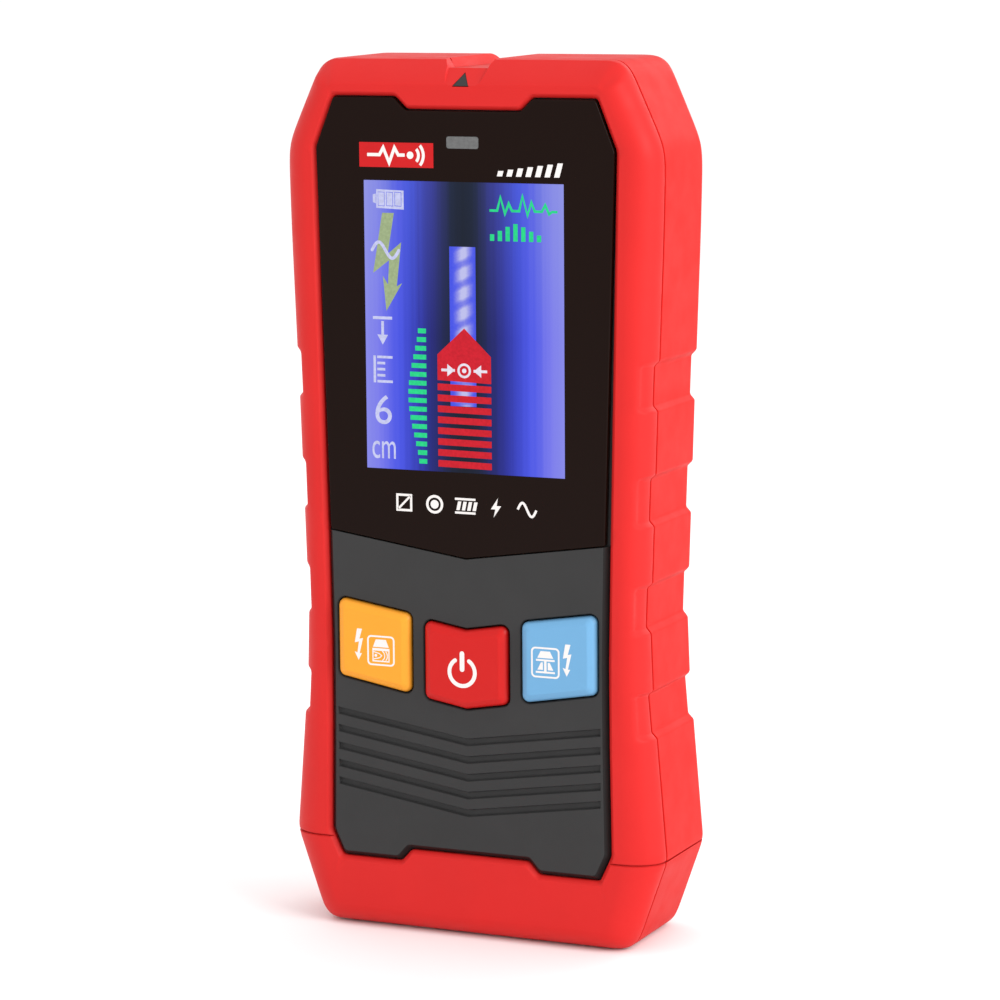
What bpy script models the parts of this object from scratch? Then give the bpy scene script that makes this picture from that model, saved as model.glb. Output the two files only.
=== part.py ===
"""Handheld wall scanner (stud finder), standing upright on its lower end.

The front faces -Y, the back faces +Y and the top marking notch is at +Z.
Lengths below are in millimetres and become metres as each mesh is made.
DEPTH values run from the front face of the housing (0) towards the back.
"""

import math

import bmesh
import bpy
from mathutils import Vector

MM = 0.001
MERGE = 2e-7  # metres; points this close become one

# Housing
HEIGHT = 150.4  # overall height
BACK = 24.6  # depth of the flat back
SEAM = 5.0  # depth of the joint between the front and rear halves
SEAM_GAP = 0.2
CENTRE_DEPTH = 11.975  # the depth that lies on the world's XZ plane
RECESS = 0.9  # how far the four finger recesses step in
SKIN = 1.6  # thickness of the soft front skin
SHELL_INSET = 3.4  # outer surface to the inside of the front shell
REAR_WALL = 2.4
BACK_WALL = 2.0
BACK_ROUND = 3.0
FRONT_WALL = 2.2
BOND = 0.15  # room between the skin and the shell it is moulded on

# Battery door
DOOR_TOP = 15.6  # height of the groove round the lower end
TONGUE_HALF = 27.5
TONGUE_TOP = 41.5
DOOR_GAP = 0.3

# Marking notch in the top edge
RAMP_FOOT = 146.05
NOTCH_FLOOR = 148.9
RAMP_DEPTH = 1.85
NOTCH_HALF = 3.4
NOTCH_FLARE_UP = 0.17
NOTCH_FLARE_BACK = 0.05

# Window and display
WINDOW_THICK = 1.2
POCKET = 1.4
DISPLAY_CENTRE = 105.5
DISPLAY_W, DISPLAY_H = 36.6, 49.0

# Keys
KEY_RISE = 1.2
KEY_GAP = 0.25
CHEVRON = 0.144  # how steeply the key pad's lines fall to the centre

# Boards
BOARD_FRONT, BOARD_BACK = 7.4, 9.0
BOARD_HALF = 21.8
BOARD_LOW, BOARD_HIGH = 35.4, 140.2
SENSOR_FRONT, SENSOR_BACK = 20.3, 21.5

CASE_SCREWS = [(25.5, 128.0), (-25.5, 128.0), (25.5, 64.2), (-25.5, 64.2)]
BOARD_SCREWS = [(18.8, 137.0), (-18.8, 137.0), (18.8, 38.6), (-18.8, 38.6)]
SENSOR_PINS = [(18.6, 66.0), (-18.6, 66.0), (18.6, 134.5), (-18.6, 134.5)]
PADS = [(21.0, 138.5), (-21.0, 138.5), (22.0, 46.5), (-22.0, 46.5)]

# Right half of the housing seen from the front, top centre to bottom centre:
# edge of the flat front band (x, z), outermost surface (x, z), finger recess or not.
OUTLINE = [
    (0.0, 146.0, 0.0, 150.4, 0),
    (24.2, 146.0, 25.0, 150.4, 0),
    (24.7, 145.8, 26.6, 150.05, 0),
    (25.1, 145.3, 27.9, 149.1, 0),
    (25.5, 144.5, 28.9, 147.5, 0),
    (28.9, 136.2, 33.1, 138.4, 0),
    (29.15, 135.0, 34.0, 135.9, 0),
    (29.2, 133.5, 34.32, 133.0, 0),
    (28.9, 121.0, 34.05, 121.0, 0),
    (28.35, 100.9, 33.3, 100.9, 0),
    (28.3, 99.9, 33.25, 99.9, 1),
    (28.1, 93.3, 33.0, 93.3, 1),
    (28.08, 92.4, 32.95, 92.4, 0),
    (27.9, 81.8, 32.6, 81.8, 0),
    (27.85, 80.9, 32.57, 80.9, 1),
    (27.75, 73.9, 32.32, 73.9, 1),
    (27.7, 73.0, 32.3, 73.0, 0),
    (27.6, 63.4, 31.98, 63.4, 0),
    (27.58, 62.5, 31.96, 62.5, 1),
    (27.5, 55.8, 31.75, 55.8, 1),
    (27.5, 54.8, 31.72, 54.8, 0),
    (27.4, 45.1, 32.1, 45.1, 0),
    (27.4, 44.3, 32.15, 44.3, 1),
    (27.5, 37.9, 32.7, 37.9, 1),
    (27.55, 36.9, 32.8, 36.9, 0),
    (28.2, 16.6, 34.55, 16.6, 0),
    (28.0, 15.0, 34.3, 15.0, 0),
    (25.6, 6.0, 30.1, 3.2, 0),
    (25.2, 5.0, 29.3, 1.5, 0),
    (24.6, 4.3, 28.2, 0.45, 0),
    (23.8, 4.0, 26.6, 0.0, 0),
    (0.0, 4.0, 0.0, 0.0, 0),
]
WINDOW = [
    (0.0, 141.8), (10.5, 141.8), (12.65, 143.95), (24.0, 143.95), (27.35, 135.45),
    (25.5, 69.95), (0.0, 66.3),
]
OPENING = [
    (0.0, 141.95), (10.4, 141.95), (12.55, 144.1), (24.1, 144.1), (27.5, 135.5), (26.2, 70.0),
    (25.85, 50.0), (25.95, 35.0), (26.25, 17.0), (24.15, 12.45), (12.95, 12.45),
    (11.05, 14.6), (0.0, 14.6),
]
SIDE_KEY = [(10.1, 56.45), (24.3, 58.5), (24.3, 44.8), (10.1, 42.4)]
POWER_KEY = [(0.0, 54.25), (7.85, 55.6), (7.85, 41.8), (0.0, 40.4), (-7.85, 41.8), (-7.85, 55.6)]

RED = (0.72, 0.03, 0.025)
GREY = (0.055, 0.055, 0.056)


# --- materials and objects -----------------------------------------------------------

def material(name, colour, metallic=0.0, roughness=0.5):
    found = bpy.data.materials.get(name)
    if found:
        return found
    made = bpy.data.materials.new(name)
    made.use_nodes = True
    shader = made.node_tree.nodes["Principled BSDF"]
    shader.inputs["Base Color"].default_value = (*colour, 1.0)
    shader.inputs["Metallic"].default_value = metallic
    shader.inputs["Roughness"].default_value = roughness
    return made


def world(x, depth, z):
    return Vector((x * MM, (depth - CENTRE_DEPTH) * MM, z * MM))


def finish(name, mesh_maker, look=None):
    """An object from a bmesh, its faces turned outwards."""
    bmesh.ops.remove_doubles(mesh_maker, verts=mesh_maker.verts, dist=1e-7)
    bmesh.ops.recalc_face_normals(mesh_maker, faces=mesh_maker.faces)
    mesh = bpy.data.meshes.new(name)
    mesh_maker.to_mesh(mesh)
    mesh_maker.free()
    made = bpy.data.objects.new(name, mesh)
    bpy.context.scene.collection.objects.link(made)
    if look:
        mesh.materials.append(look)
    return made


def loft(name, loops, look=None):
    """A closed solid through loops of (x, depth, z) with equally many points."""
    bm = bmesh.new()
    rings = [[bm.verts.new(world(*p)) for p in loop] for loop in loops]
    count = len(rings[0])
    for a, b in zip(rings, rings[1:]):
        for i in range(count):
            j = (i + 1) % count
            bm.faces.new((a[i], a[j], b[j], b[i]))
    bmesh.ops.triangulate(bm, faces=bm.faces)
    for ring in (rings[0], rings[-1]):
        close_end(bm, ring)
    return finish(name, bm, look)


def close_end(bm, ring):
    """Closes a ring with a fan from its middle, or with one face where a fan would fold."""
    middle = sum((v.co for v in ring), Vector()) / len(ring)
    pairs = list(zip(ring, ring[1:] + ring[:1]))
    fan = [(a.co - middle).cross(b.co - middle) for a, b in pairs]
    total = sum(fan, Vector())
    if len(ring) < 12 or any(f.dot(total) <= 0.001 * f.length * total.length for f in fan):
        bm.faces.new(ring)
        return
    hub = bm.verts.new(middle)
    for a, b in pairs:
        bm.faces.new((a, b, hub))


def prism(name, polygon, front, back, look=None):
    """A polygon of (x, z) run from one depth to another."""
    return loft(name, [[(x, d, z) for x, z in polygon] for d in (front, back)], look)


def box(name, x, depth, z, look=None):
    corners = [(x[0], z[0]), (x[1], z[0]), (x[1], z[1]), (x[0], z[1])]
    return prism(name, corners, depth[0], depth[1], look)


def round_rod(name, x, z, stations, look=None, sides=24):
    """A turned piece whose axis runs from front to back; stations are (depth, radius)."""
    turn = [2 * math.pi * i / sides for i in range(sides)]
    return loft(
        name,
        [[(x + r * math.cos(a), d, z + r * math.sin(a)) for a in turn] for d, r in stations],
        look,
    )


def boolean(body, tool, operation, keep=False):
    """Cuts, joins or intersects body with tool, and takes the result as body's own mesh."""
    step = body.modifiers.new("step", "BOOLEAN")
    step.operation = operation
    step.solver = "EXACT"
    step.object = tool
    bpy.context.view_layer.update()
    graph = bpy.context.evaluated_depsgraph_get()
    result = bpy.data.meshes.new_from_object(body.evaluated_get(graph))
    body.modifiers.remove(step)
    bm = bmesh.new()
    bm.from_mesh(result)
    bmesh.ops.remove_doubles(bm, verts=bm.verts, dist=MERGE)
    bmesh.ops.dissolve_degenerate(bm, edges=bm.edges, dist=MERGE)
    bmesh.ops.triangulate(bm, faces=bm.faces)
    bm.to_mesh(result)
    bm.free()
    body.data = result
    if not keep:
        bpy.data.objects.remove(tool)
    return body


def cut(body, *tools):
    for tool in tools:
        boolean(body, tool, "DIFFERENCE")
    return body


def join(body, *others):
    for other in others:
        boolean(body, other, "UNION")
    return body


# --- outlines ------------------------------------------------------------------------

def mirrored(half):
    """The whole loop from its right half, both ends of which are on the centre line."""
    return list(half) + [(-x, z) for x, z in reversed(half[1:-1])]


def inset(loop, distance):
    """The loop moved inwards; its points run clockwise seen from the front."""
    moved = []
    for i, (x, z) in enumerate(loop):
        x0, z0 = loop[i - 1]
        x1, z1 = loop[(i + 1) % len(loop)]
        before = Vector((x - x0, z - z0)).normalized()
        after = Vector((x1 - x, z1 - z)).normalized()
        normal = Vector((before.y + after.y, -before.x - after.x)).normalized()
        reach = distance / max(0.3, normal.dot(Vector((after.y, -after.x))))
        moved.append((x + normal.x * reach, z + normal.y * reach))
    return moved


RIM = mirrored([(a, b) for a, b, c, d, e in OUTLINE])
BODY = mirrored([(c, d) for a, b, c, d, e in OUTLINE])
GRIPPED = mirrored([(c - RECESS * e, d) for a, b, c, d, e in OUTLINE])
OPENING_LOOP = mirrored(OPENING)
WINDOW_LOOP = mirrored(WINDOW)


def blend(first, second, share):
    return [
        (a + (c - a) * share, b + (d - b) * share) for (a, b), (c, d) in zip(first, second)
    ]


def at(loop, depth):
    return [(x, depth, z) for x, z in loop]


def front_round(front, seam_inset, with_grip, steps=6):
    """Loops round the front edge, from the flat band back to the seam."""
    loops = []
    outer = inset(BODY, seam_inset) if seam_inset else BODY
    for i in range(steps + 1):
        angle = math.pi / 2 * i / steps
        depth = SEAM - (SEAM - front) * math.cos(angle)
        loop = blend(RIM, outer, math.sin(angle))
        if with_grip:
            loop = [
                (math.copysign(min(abs(x), abs(g)), x) if x else x, z)
                for (x, z), (g, _) in zip(loop, GRIPPED)
            ]
        loops.append(at(loop, depth))
    return loops


def notch(drop=0.0):
    """The tool that cuts the marking notch, ramp first; drop makes it wider and deeper."""
    loops = []
    slope = (NOTCH_FLOOR - RAMP_FOOT) / RAMP_DEPTH
    top = HEIGHT + 2.0
    for depth, floor in (
        (-1.0, RAMP_FOOT - slope),
        (RAMP_DEPTH, NOTCH_FLOOR),
        (BACK + 2.0, NOTCH_FLOOR),
    ):
        def half(z, depth=depth):
            rise = NOTCH_FLARE_UP * (z - RAMP_FOOT)
            return NOTCH_HALF + rise + NOTCH_FLARE_BACK * depth + drop
        z = floor - drop
        loops.append([
            (-half(top), depth, top), (half(top), depth, top),
            (half(z), depth, z), (-half(z), depth, z),
        ])
    return loft("notch", loops)


# --- the two halves of the housing -----------------------------------------------------

def core(clearance):
    """The room inside the soft skin; clearance shrinks it to the shell that fills it."""
    loops = front_round(SKIN - 0.1 + clearance, SKIN + clearance, False)
    loops[0] = at(inset(RIM, 0.3 + clearance), SKIN - 0.1 + clearance)
    loops.append(at(inset(BODY, SKIN + clearance), SEAM + (1.0 if not clearance else 0.0)))
    made = loft("core", loops if not clearance else loops[:-1])
    return cut(made, notch(1.1 + clearance))


def make_skin():
    skin = loft("front_overmould", front_round(0.0, 0.0, True), material("skin_red", RED))
    cut(skin, notch(), core(0.0))
    opening = loft("opening", [
        at(inset(OPENING_LOOP, -0.45 - 1.0), -1.0),
        at(inset(OPENING_LOOP, -0.45), 0.0),
        at(OPENING_LOOP, 0.45),
        at(OPENING_LOOP, SEAM),
    ])
    arrow = [(-1.7, 145.6), (1.7, 145.6), (0.0, 148.75)]
    cut(skin, opening, prism("arrow_hole", arrow, -1.0, 4.0))
    # The groove of the battery door goes on round the front, up to the key pad.
    for side in (1, -1):
        edge = []
        for loop in front_round(0.0, 0.0, True):
            x, depth, z = loop[26]
            edge.append((x, depth))
        inner = [(25.0, 0.55)] + [
            (x - 0.55 * math.sin(math.pi / 2 * i / 6), d + 0.55 * math.cos(math.pi / 2 * i / 6))
            for i, (x, d) in enumerate(edge)
        ]
        inner[-1] = (inner[-1][0], SEAM + 1.0)
        shape = [(25.0, -1.0), (40.0, -1.0), (40.0, SEAM + 1.0)] + inner[::-1]
        low, high = DOOR_TOP, DOOR_TOP + DOOR_GAP
        cut(skin, loft("groove", [[(side * x, d, z) for x, d in shape] for z in (low, high)]))
    return skin


def make_front_shell():
    shell = core(BOND)
    shell.name = "front_shell"
    shell.data.materials.clear()
    shell.data.materials.append(material("shell_grey", GREY))
    face = loft("face", [
        at(inset(OPENING_LOOP, 0.85), 0.0),
        at(inset(OPENING_LOOP, BOND), 0.6),
        at(inset(OPENING_LOOP, BOND), SKIN + 1.2),
    ])
    lip = loft("lip", [at(inset(BODY, REAR_WALL + 0.25), d) for d in (SEAM - 1.0, SEAM + 1.0)])
    cut(lip, notch(2.4))
    arrow = [(-1.35, 145.85), (1.35, 145.85), (0.0, 148.15)]
    slope = RAMP_DEPTH / (NOTCH_FLOOR - RAMP_FOOT)
    pointer = loft("pointer", [
        [(x, (z - RAMP_FOOT) * slope, z) for x, z in arrow],
        [(x, 4.2, z - 0.6) for x, z in arrow],
    ])
    join(shell, face, lip, pointer)
    inside = loft("inside", [
        at(inset(RIM, 0.6), FRONT_WALL + 0.2),
        at(inset(BODY, SHELL_INSET), FRONT_WALL + 1.8),
        at(inset(BODY, SHELL_INSET), SEAM + 2.0),
    ])
    # Room for the window: everything above the chevron, down to the pocket's floor.
    above = mirrored([
        (0.0, 160.0), (40.0, 160.0), (40.0, 69.95 - 0.15 + 14.5 * CHEVRON), (0.0, 66.15),
    ])
    cut(shell, prism("pocket", above, -1.0, POCKET), inside)
    half_w, half_h = DISPLAY_W / 2 + 0.8, DISPLAY_H / 2 + 0.8
    cut(
        shell,
        box("view", (-half_w, half_w), (-1, 6),
            (DISPLAY_CENTRE - half_h, DISPLAY_CENTRE + half_h)),
        box("pipe_hole", (-3.3, 3.3), (-1, 6), (135.3, 137.9)),
    )
    for side in (1, -1):
        hole = [(side * x, z) for x, z in SIDE_KEY]
        if side < 0:
            hole.reverse()
        cut(shell, prism("key_hole", inset(hole, -KEY_GAP), -1, 6))
    cut(shell, prism("key_hole", inset(POWER_KEY, -KEY_GAP), -1, 6))
    for i in range(5):
        top = 35.5 - 3.08 * i
        lift = 24.5 * 0.135
        groove = [
            (0.0, top), (24.5, top + lift), (24.5, top + lift - 1.0), (0.0, top - 1.0),
            (-24.5, top + lift - 1.0), (-24.5, top + lift),
        ]
        cut(shell, prism("groove", groove, -1.0, 0.7))
    for x, z in CASE_SCREWS:
        join(shell, round_rod("boss", x, z, [(FRONT_WALL + 0.1, 3.0), (9.3, 3.0)]))
        cut(shell, round_rod("pilot", x, z, [(4.0, 1.35), (10.0, 1.35)], sides=16))
    for x, z in BOARD_SCREWS:
        join(shell, round_rod("boss", x, z, [(FRONT_WALL - 0.4, 2.3), (7.1, 2.3)]))
        cut(shell, round_rod("pilot", x, z, [(3.6, 1.05), (8.0, 1.05)], sides=16))
    return shell


def rear_solid():
    """The rear half as a hollow shell, before the door is divided from it."""
    loops = [at(GRIPPED, SEAM + SEAM_GAP), at(GRIPPED, BACK - BACK_ROUND)]
    for i in range(1, 5):
        angle = math.pi / 2 * i / 4
        loops.append(at(
            inset(GRIPPED, BACK_ROUND * (1 - math.cos(angle))),
            BACK - BACK_ROUND + BACK_ROUND * math.sin(angle),
        ))
    body = loft("rear", loops)
    inner = loft("inner", [
        at(inset(BODY, REAR_WALL), SEAM - 1.0),
        at(inset(BODY, REAR_WALL), BACK - BACK_WALL - 0.8),
        at(inset(BODY, REAR_WALL + 0.8), BACK - BACK_WALL),
    ])
    cut(inner, notch(2.0))
    return cut(body, notch(), inner)


def door_region(grow):
    """The space that belongs to the battery door."""
    low = box("low", (-60, 60), (0, 40), (-5, DOOR_TOP + grow))
    tongue = box("tongue", (-TONGUE_HALF - grow, TONGUE_HALF + grow),
                 (BACK - BACK_WALL - 2.5, 40), (DOOR_TOP - 5, TONGUE_TOP + grow))
    return join(low, tongue)


def make_rear_case():
    case = rear_solid()
    case.name = "rear_case"
    case.data.materials.clear()
    case.data.materials.append(material("case_red", RED))
    cut(case, door_region(DOOR_GAP))
    tray = box("tray", (-26.0, 26.0), (4.4, 22.2), (4.3, 34.2))
    shelf = box("shelf", (-31.2, 31.2), (6.4, 22.2), (32.6, 34.2))
    ribs = [
        box("rib", (-32.4, -25.2), (6.4, 19.4), (17.0, 18.4)),
        box("rib", (25.2, 32.4), (6.4, 19.4), (17.0, 18.4)),
    ]
    join(tray, shelf, *ribs)
    cut(tray, box("bay", (-25.3, 25.3), (5.3, 30), (5.0, 32.6)),
        box("lead_slot", (19.0, 24.6), (9.6, 14.4), (31.0, 36.0)))
    join(case, tray)
    web = box("web", (-1.6, 1.6), (12.2, 22.0), (33.4, 38.0))
    boss = round_rod("boss", 0.0, 38.0, [(12.0, 3.2), (22.1, 3.2)])
    join(case, web, boss)
    brace = box("brace", (-29.0, 29.0), (21.2, 23.6), (42.6, 44.2))
    tie = box("tie", (-1.6, 1.6), (14.0, 22.3), (38.0, 43.6))
    join(case, brace, tie)
    cut(case, round_rod("bore", 0.0, 38.0, [(13.0, 1.4), (16.9, 1.4)], sides=16),
        round_rod("bore", 0.0, 38.0, [(16.8, 2.0), (30.0, 2.0)]))
    for x, z in CASE_SCREWS:
        join(case, round_rod("boss", x, z, [(9.7, 3.6), (BACK - 0.9, 3.6)], sides=22))
        cut(case, round_rod("bore", x, z, [(8.0, 1.5), (30.0, 1.5)], sides=16),
            round_rod("counterbore", x, z, [(21.2, 2.8), (30.0, 2.8)]))
    for x, z in SENSOR_PINS:
        join(case, round_rod("pin", x, z, [(19.6, 0.95), (21.0, 1.0), (24.0, 1.0)], sides=12))
        join(case, round_rod("seat", x, z, [(21.75, 2.2), (24.0, 2.2)], sides=16))
    for x, z in PADS:
        cut(case, box("pad_seat", (x - 5.3, x + 5.3), (BACK - 0.5, 30), (z - 2.3, z + 2.3)))
    cut(case, box("label_seat", (-17.3, 17.3), (BACK - 0.45, 30), (73.7, 106.3)))
    return case


def make_door():
    door = boolean(rear_solid(), door_region(0.0), "INTERSECT")
    door.name = "battery_door"
    door.data.materials.clear()
    door.data.materials.append(material("door_red", RED))
    cut(door, round_rod("hole", 0.0, 38.0, [(15.0, 1.4), (30.0, 1.4)], sides=16),
        round_rod("seat", 0.0, 38.0, [(BACK - 1.1, 2.7), (30.0, 2.7)]))
    # Three finger ribs show where to press the door.
    for i in range(3):
        z = 20.0 + 2.4 * i
        join(door, box("rib", (-9, 9), (BACK - 0.5, BACK + 0.4), (z, z + 1.0)))
    return door


# --- window and keys -------------------------------------------------------------------

def make_window():
    return loft("display_window", [
        at(inset(WINDOW_LOOP, 0.25), 0.0),
        at(inset(WINDOW_LOOP, 0.02), 0.25),
        at(inset(WINDOW_LOOP, 0.02), WINDOW_THICK),
    ], material("window_black", (0.01, 0.008, 0.007), roughness=0.08))


def rounded(polygon, radius, steps=4):
    """The polygon with its corners rounded; its points run clockwise."""
    made = []
    for i, corner in enumerate(polygon):
        a = Vector(polygon[i - 1]) - Vector(corner)
        b = Vector(polygon[(i + 1) % len(polygon)]) - Vector(corner)
        turn = a.angle(b)
        if turn > math.radians(150):
            made.append(tuple(corner))
            continue
        reach = radius / math.tan(turn / 2)
        centre = Vector(corner) + (a.normalized() + b.normalized()).normalized() * (
            radius / math.sin(turn / 2))
        start = Vector(corner) + a.normalized() * reach - centre
        end = Vector(corner) + b.normalized() * reach - centre
        for k in range(steps + 1):
            aim = start.slerp(end, k / steps).normalized() * radius
            made.append(tuple(centre + aim))
    return made


def make_key(name, polygon, look):
    clockwise = rounded(polygon, 1.2)
    key = loft(name, [
        at(inset(clockwise, 1.15), -KEY_RISE),
        at(inset(clockwise, 0.62), -KEY_RISE + 0.13),
        at(inset(clockwise, 0.22), -KEY_RISE + 0.5),
        at(inset(clockwise, 0.03), -KEY_RISE + 1.0),
        at(inset(clockwise, 0.0), 2.9),
    ], look)
    centre_x = sum(x for x, z in polygon) / len(polygon)
    centre_z = sum(z for x, z in polygon) / len(polygon)
    flange = prism("flange", inset(clockwise, -0.7), 2.75, 3.3)
    stem = round_rod("stem", centre_x, centre_z, [(3.0, 1.6), (3.5, 1.6)], sides=16)
    return join(key, flange, stem)


def key_centre(polygon):
    count = len(polygon)
    return sum(x for x, z in polygon) / count, sum(z for x, z in polygon) / count


# --- parts inside -----------------------------------------------------------------------

def screw(name, x, z, seat, head_r, head_h, shank_r, tip, look):
    """A pan-head screw put in from the back, with a cross recess."""
    made = round_rod(name, x, z, [
        (tip, shank_r * 0.5), (tip + 1.0, shank_r), (seat, shank_r), (seat, head_r),
        (seat + head_h * 0.6, head_r), (seat + head_h, head_r * 0.7),
    ], look, sides=16)
    for w, h in ((head_r * 0.55, head_r * 0.14), (head_r * 0.14, head_r * 0.55)):
        cut(made, box("slot", (x - w, x + w), (seat + head_h * 0.45, seat + 5), (z - h, z + h)))
    return made


def tube(name, path, radius, look, sides=10):
    """A round lead along a path of (x, depth, z)."""
    points = [Vector(p) for p in path]
    bm = bmesh.new()
    rings = []
    side = Vector((0, 1, 0))
    for i, p in enumerate(points):
        ahead = (points[min(i + 1, len(points) - 1)] - points[max(i - 1, 0)]).normalized()
        side = (side - ahead * side.dot(ahead)).normalized()
        other = ahead.cross(side)
        rings.append([
            bm.verts.new(world(*(p + radius * (side * math.cos(a) + other * math.sin(a)))))
            for a in (2 * math.pi * k / sides for k in range(sides))
        ])
    for a, b in zip(rings, rings[1:]):
        for k in range(sides):
            bm.faces.new((a[k], a[(k + 1) % sides], b[(k + 1) % sides], b[k]))
    bm.faces.new(rings[0])
    bm.faces.new(rings[-1])
    return finish(name, bm, look)


def smooth_path(points, per_leg=5):
    """A Catmull-Rom curve through the points."""
    pts = [Vector(p) for p in points]
    pts = [pts[0] * 2 - pts[1], *pts, pts[-1] * 2 - pts[-2]]
    made = []
    for a, b, c, d in zip(pts, pts[1:], pts[2:], pts[3:]):
        for k in range(per_leg):
            t = k / per_leg
            made.append(0.5 * (
                2 * b + (c - a) * t + (2 * a - 5 * b + 4 * c - d) * t * t
                + (3 * b - 3 * c + d - a) * t ** 3
            ))
    return [*made, pts[-2]]


def make_display():
    half = 21.3
    top = DISPLAY_CENTRE + DISPLAY_H / 2 + 2.6
    box("lcd_panel", (-half, half), (2.65, 3.75), (top - 57.5, top),
        material("lcd_glass", (0.02, 0.03, 0.12), roughness=0.1))
    frame = box("lcd_frame", (-half, half), (4.05, 5.6), (top - 60.0, top),
                material("lcd_frame_steel", (0.6, 0.6, 0.6), 1.0, 0.4))
    cut(frame, box("dish", (-half + 1, half - 1), (5.1, 9), (top - 59.0, top - 1)))
    low = top - 57.5
    flex = [(3.0, low - 0.35), (3.0, low - 1.9), (3.6, low - 3.0), (5.3, low - 3.6),
            (6.3, low - 4.6), (6.3, low - 7.6)]
    outer = [(d + (0.0 if i < 1 else 0.1), z) for i, (d, z) in enumerate(flex)]
    strip = []
    for i, (d, z) in enumerate(outer):
        before = Vector(outer[max(i - 1, 0)])
        after = Vector(outer[min(i + 1, len(outer) - 1)])
        along = (after - before).normalized()
        strip.append((d + along.y * 0.12, z - along.x * 0.12, d - along.y * 0.12, z + along.x * 0.12))
    section = [(a, b) for a, b, c, d in strip] + [(c, d) for a, b, c, d in reversed(strip)]
    loft("display_flex", [[(x, d, z) for d, z in section] for x in (-10.0, 10.0)],
         material("flex_amber", (0.55, 0.25, 0.03)))
    socket = box("flex_socket", (-11.5, 11.5), (5.4, 7.1), (low - 11.4, low - 6.6),
                 material("socket_cream", (0.75, 0.72, 0.62)))
    cut(socket, box("mouth", (-10.4, 10.4), (6.05, 6.75), (low - 8.4, low)))


def make_boards():
    green = material("board_green", (0.01, 0.16, 0.06), roughness=0.4)
    board = box("main_board", (-BOARD_HALF, BOARD_HALF), (BOARD_FRONT, BOARD_BACK),
                (BOARD_LOW, BOARD_HIGH), green)
    for x, z in BOARD_SCREWS:
        cut(board, round_rod("hole", x, z, [(5, 1.3), (12, 1.3)], sides=16))
    sensor = box("sensor_board", (-21.3, 21.3), (SENSOR_FRONT, SENSOR_BACK), (62.6, 137.6), green)
    for x, z in SENSOR_PINS:
        cut(sensor, round_rod("hole", x, z, [(15, 1.3), (30, 1.3)], sides=16))
    black = material("part_black", (0.015, 0.015, 0.016), roughness=0.45)
    steel = material("part_steel", (0.62, 0.62, 0.63), 1.0, 0.35)
    for name, polygon, side in (
        ("left_switch", SIDE_KEY, -1), ("power_switch", POWER_KEY, 1),
        ("right_switch", SIDE_KEY, 1),
    ):
        x, z = key_centre(polygon)
        x *= side
        base = box(name, (x - 3.0, x + 3.0), (BOARD_FRONT - 2.4, BOARD_FRONT - 0.2),
                   (z - 3.0, z + 3.0), black)
        join(base, round_rod("plunger", x, z, [(4.2, 1.5), (6.0, 1.7)], sides=16))
    box("status_led", (-1.6, 1.6), (6.5, BOARD_FRONT - 0.2), (135.8, 137.4),
        material("led_white", (0.8, 0.8, 0.75)))
    box("light_pipe", (-2.95, 2.95), (1.5, 6.2), (135.6, 137.6),
        material("pipe_grey", (0.45, 0.45, 0.45), roughness=0.25))
    back = BOARD_BACK + 0.2
    box("microcontroller", (-5, 5), (back, back + 1.4), (96, 106), black)
    box("memory_chip", (10, 15), (back, back + 1.6), (96, 100), black)
    can = box("crystal", (-15.5, -10.5), (back, back + 3.4), (99, 103.4), steel)
    join(can, box("flange", (-16, -10), (back, back + 0.5), (98.6, 103.8)))
    choke = box("inductor", (8.5, 15.5), (back, back + 4.0), (48, 55),
                material("choke_grey", (0.12, 0.12, 0.13), roughness=0.7))
    join(choke, round_rod("core", 12.0, 51.5, [(back + 2.0, 2.6), (back + 4.3, 2.6)], sides=16))
    capacitor = round_rod("capacitor", -8.0, 60.0, [
        (back, 3.3), (back + 0.7, 3.3), (back + 0.7, 3.1), (back + 7.4, 3.1), (back + 7.7, 2.8),
    ], steel)
    buzzer = round_rod("buzzer", 11.0, 66.0, [(back, 6.0), (back + 5.6, 6.0), (back + 6.0, 5.7)],
                       black)
    cut(buzzer, round_rod("port", 11.0, 66.0, [(back + 4.8, 1.0), (back + 9, 1.0)], sides=16))
    box("shield_can", (-9, 9), (back, back + 2.6), (114, 132), steel)
    box("board_link", (-8, 8), (back, SENSOR_FRONT - 0.2), (76.0, 78.6), black)
    return capacitor


def make_coil():
    """The oval search coil, wound flat and fixed to the front of the sensor board."""
    def oval(half_w, half_h):
        turn = [2 * math.pi * i / 48 for i in range(48)]
        return [(half_w * math.sin(a), 108 + half_h * math.cos(a)) for a in turn]
    front, back = SENSOR_FRONT - 3.0, SENSOR_FRONT - 0.2
    coil = loft("search_coil", [
        at(oval(19.6, 23.6), front), at(oval(20.0, 24.0), front + 0.4),
        at(oval(20.0, 24.0), back - 0.4), at(oval(19.6, 23.6), back),
    ], material("coil_copper", (0.6, 0.25, 0.12), 1.0, 0.35))
    return cut(coil, loft("hole", [at(oval(16.4, 20.4), front - 1), at(oval(16.4, 20.4), back + 1)]))


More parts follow.
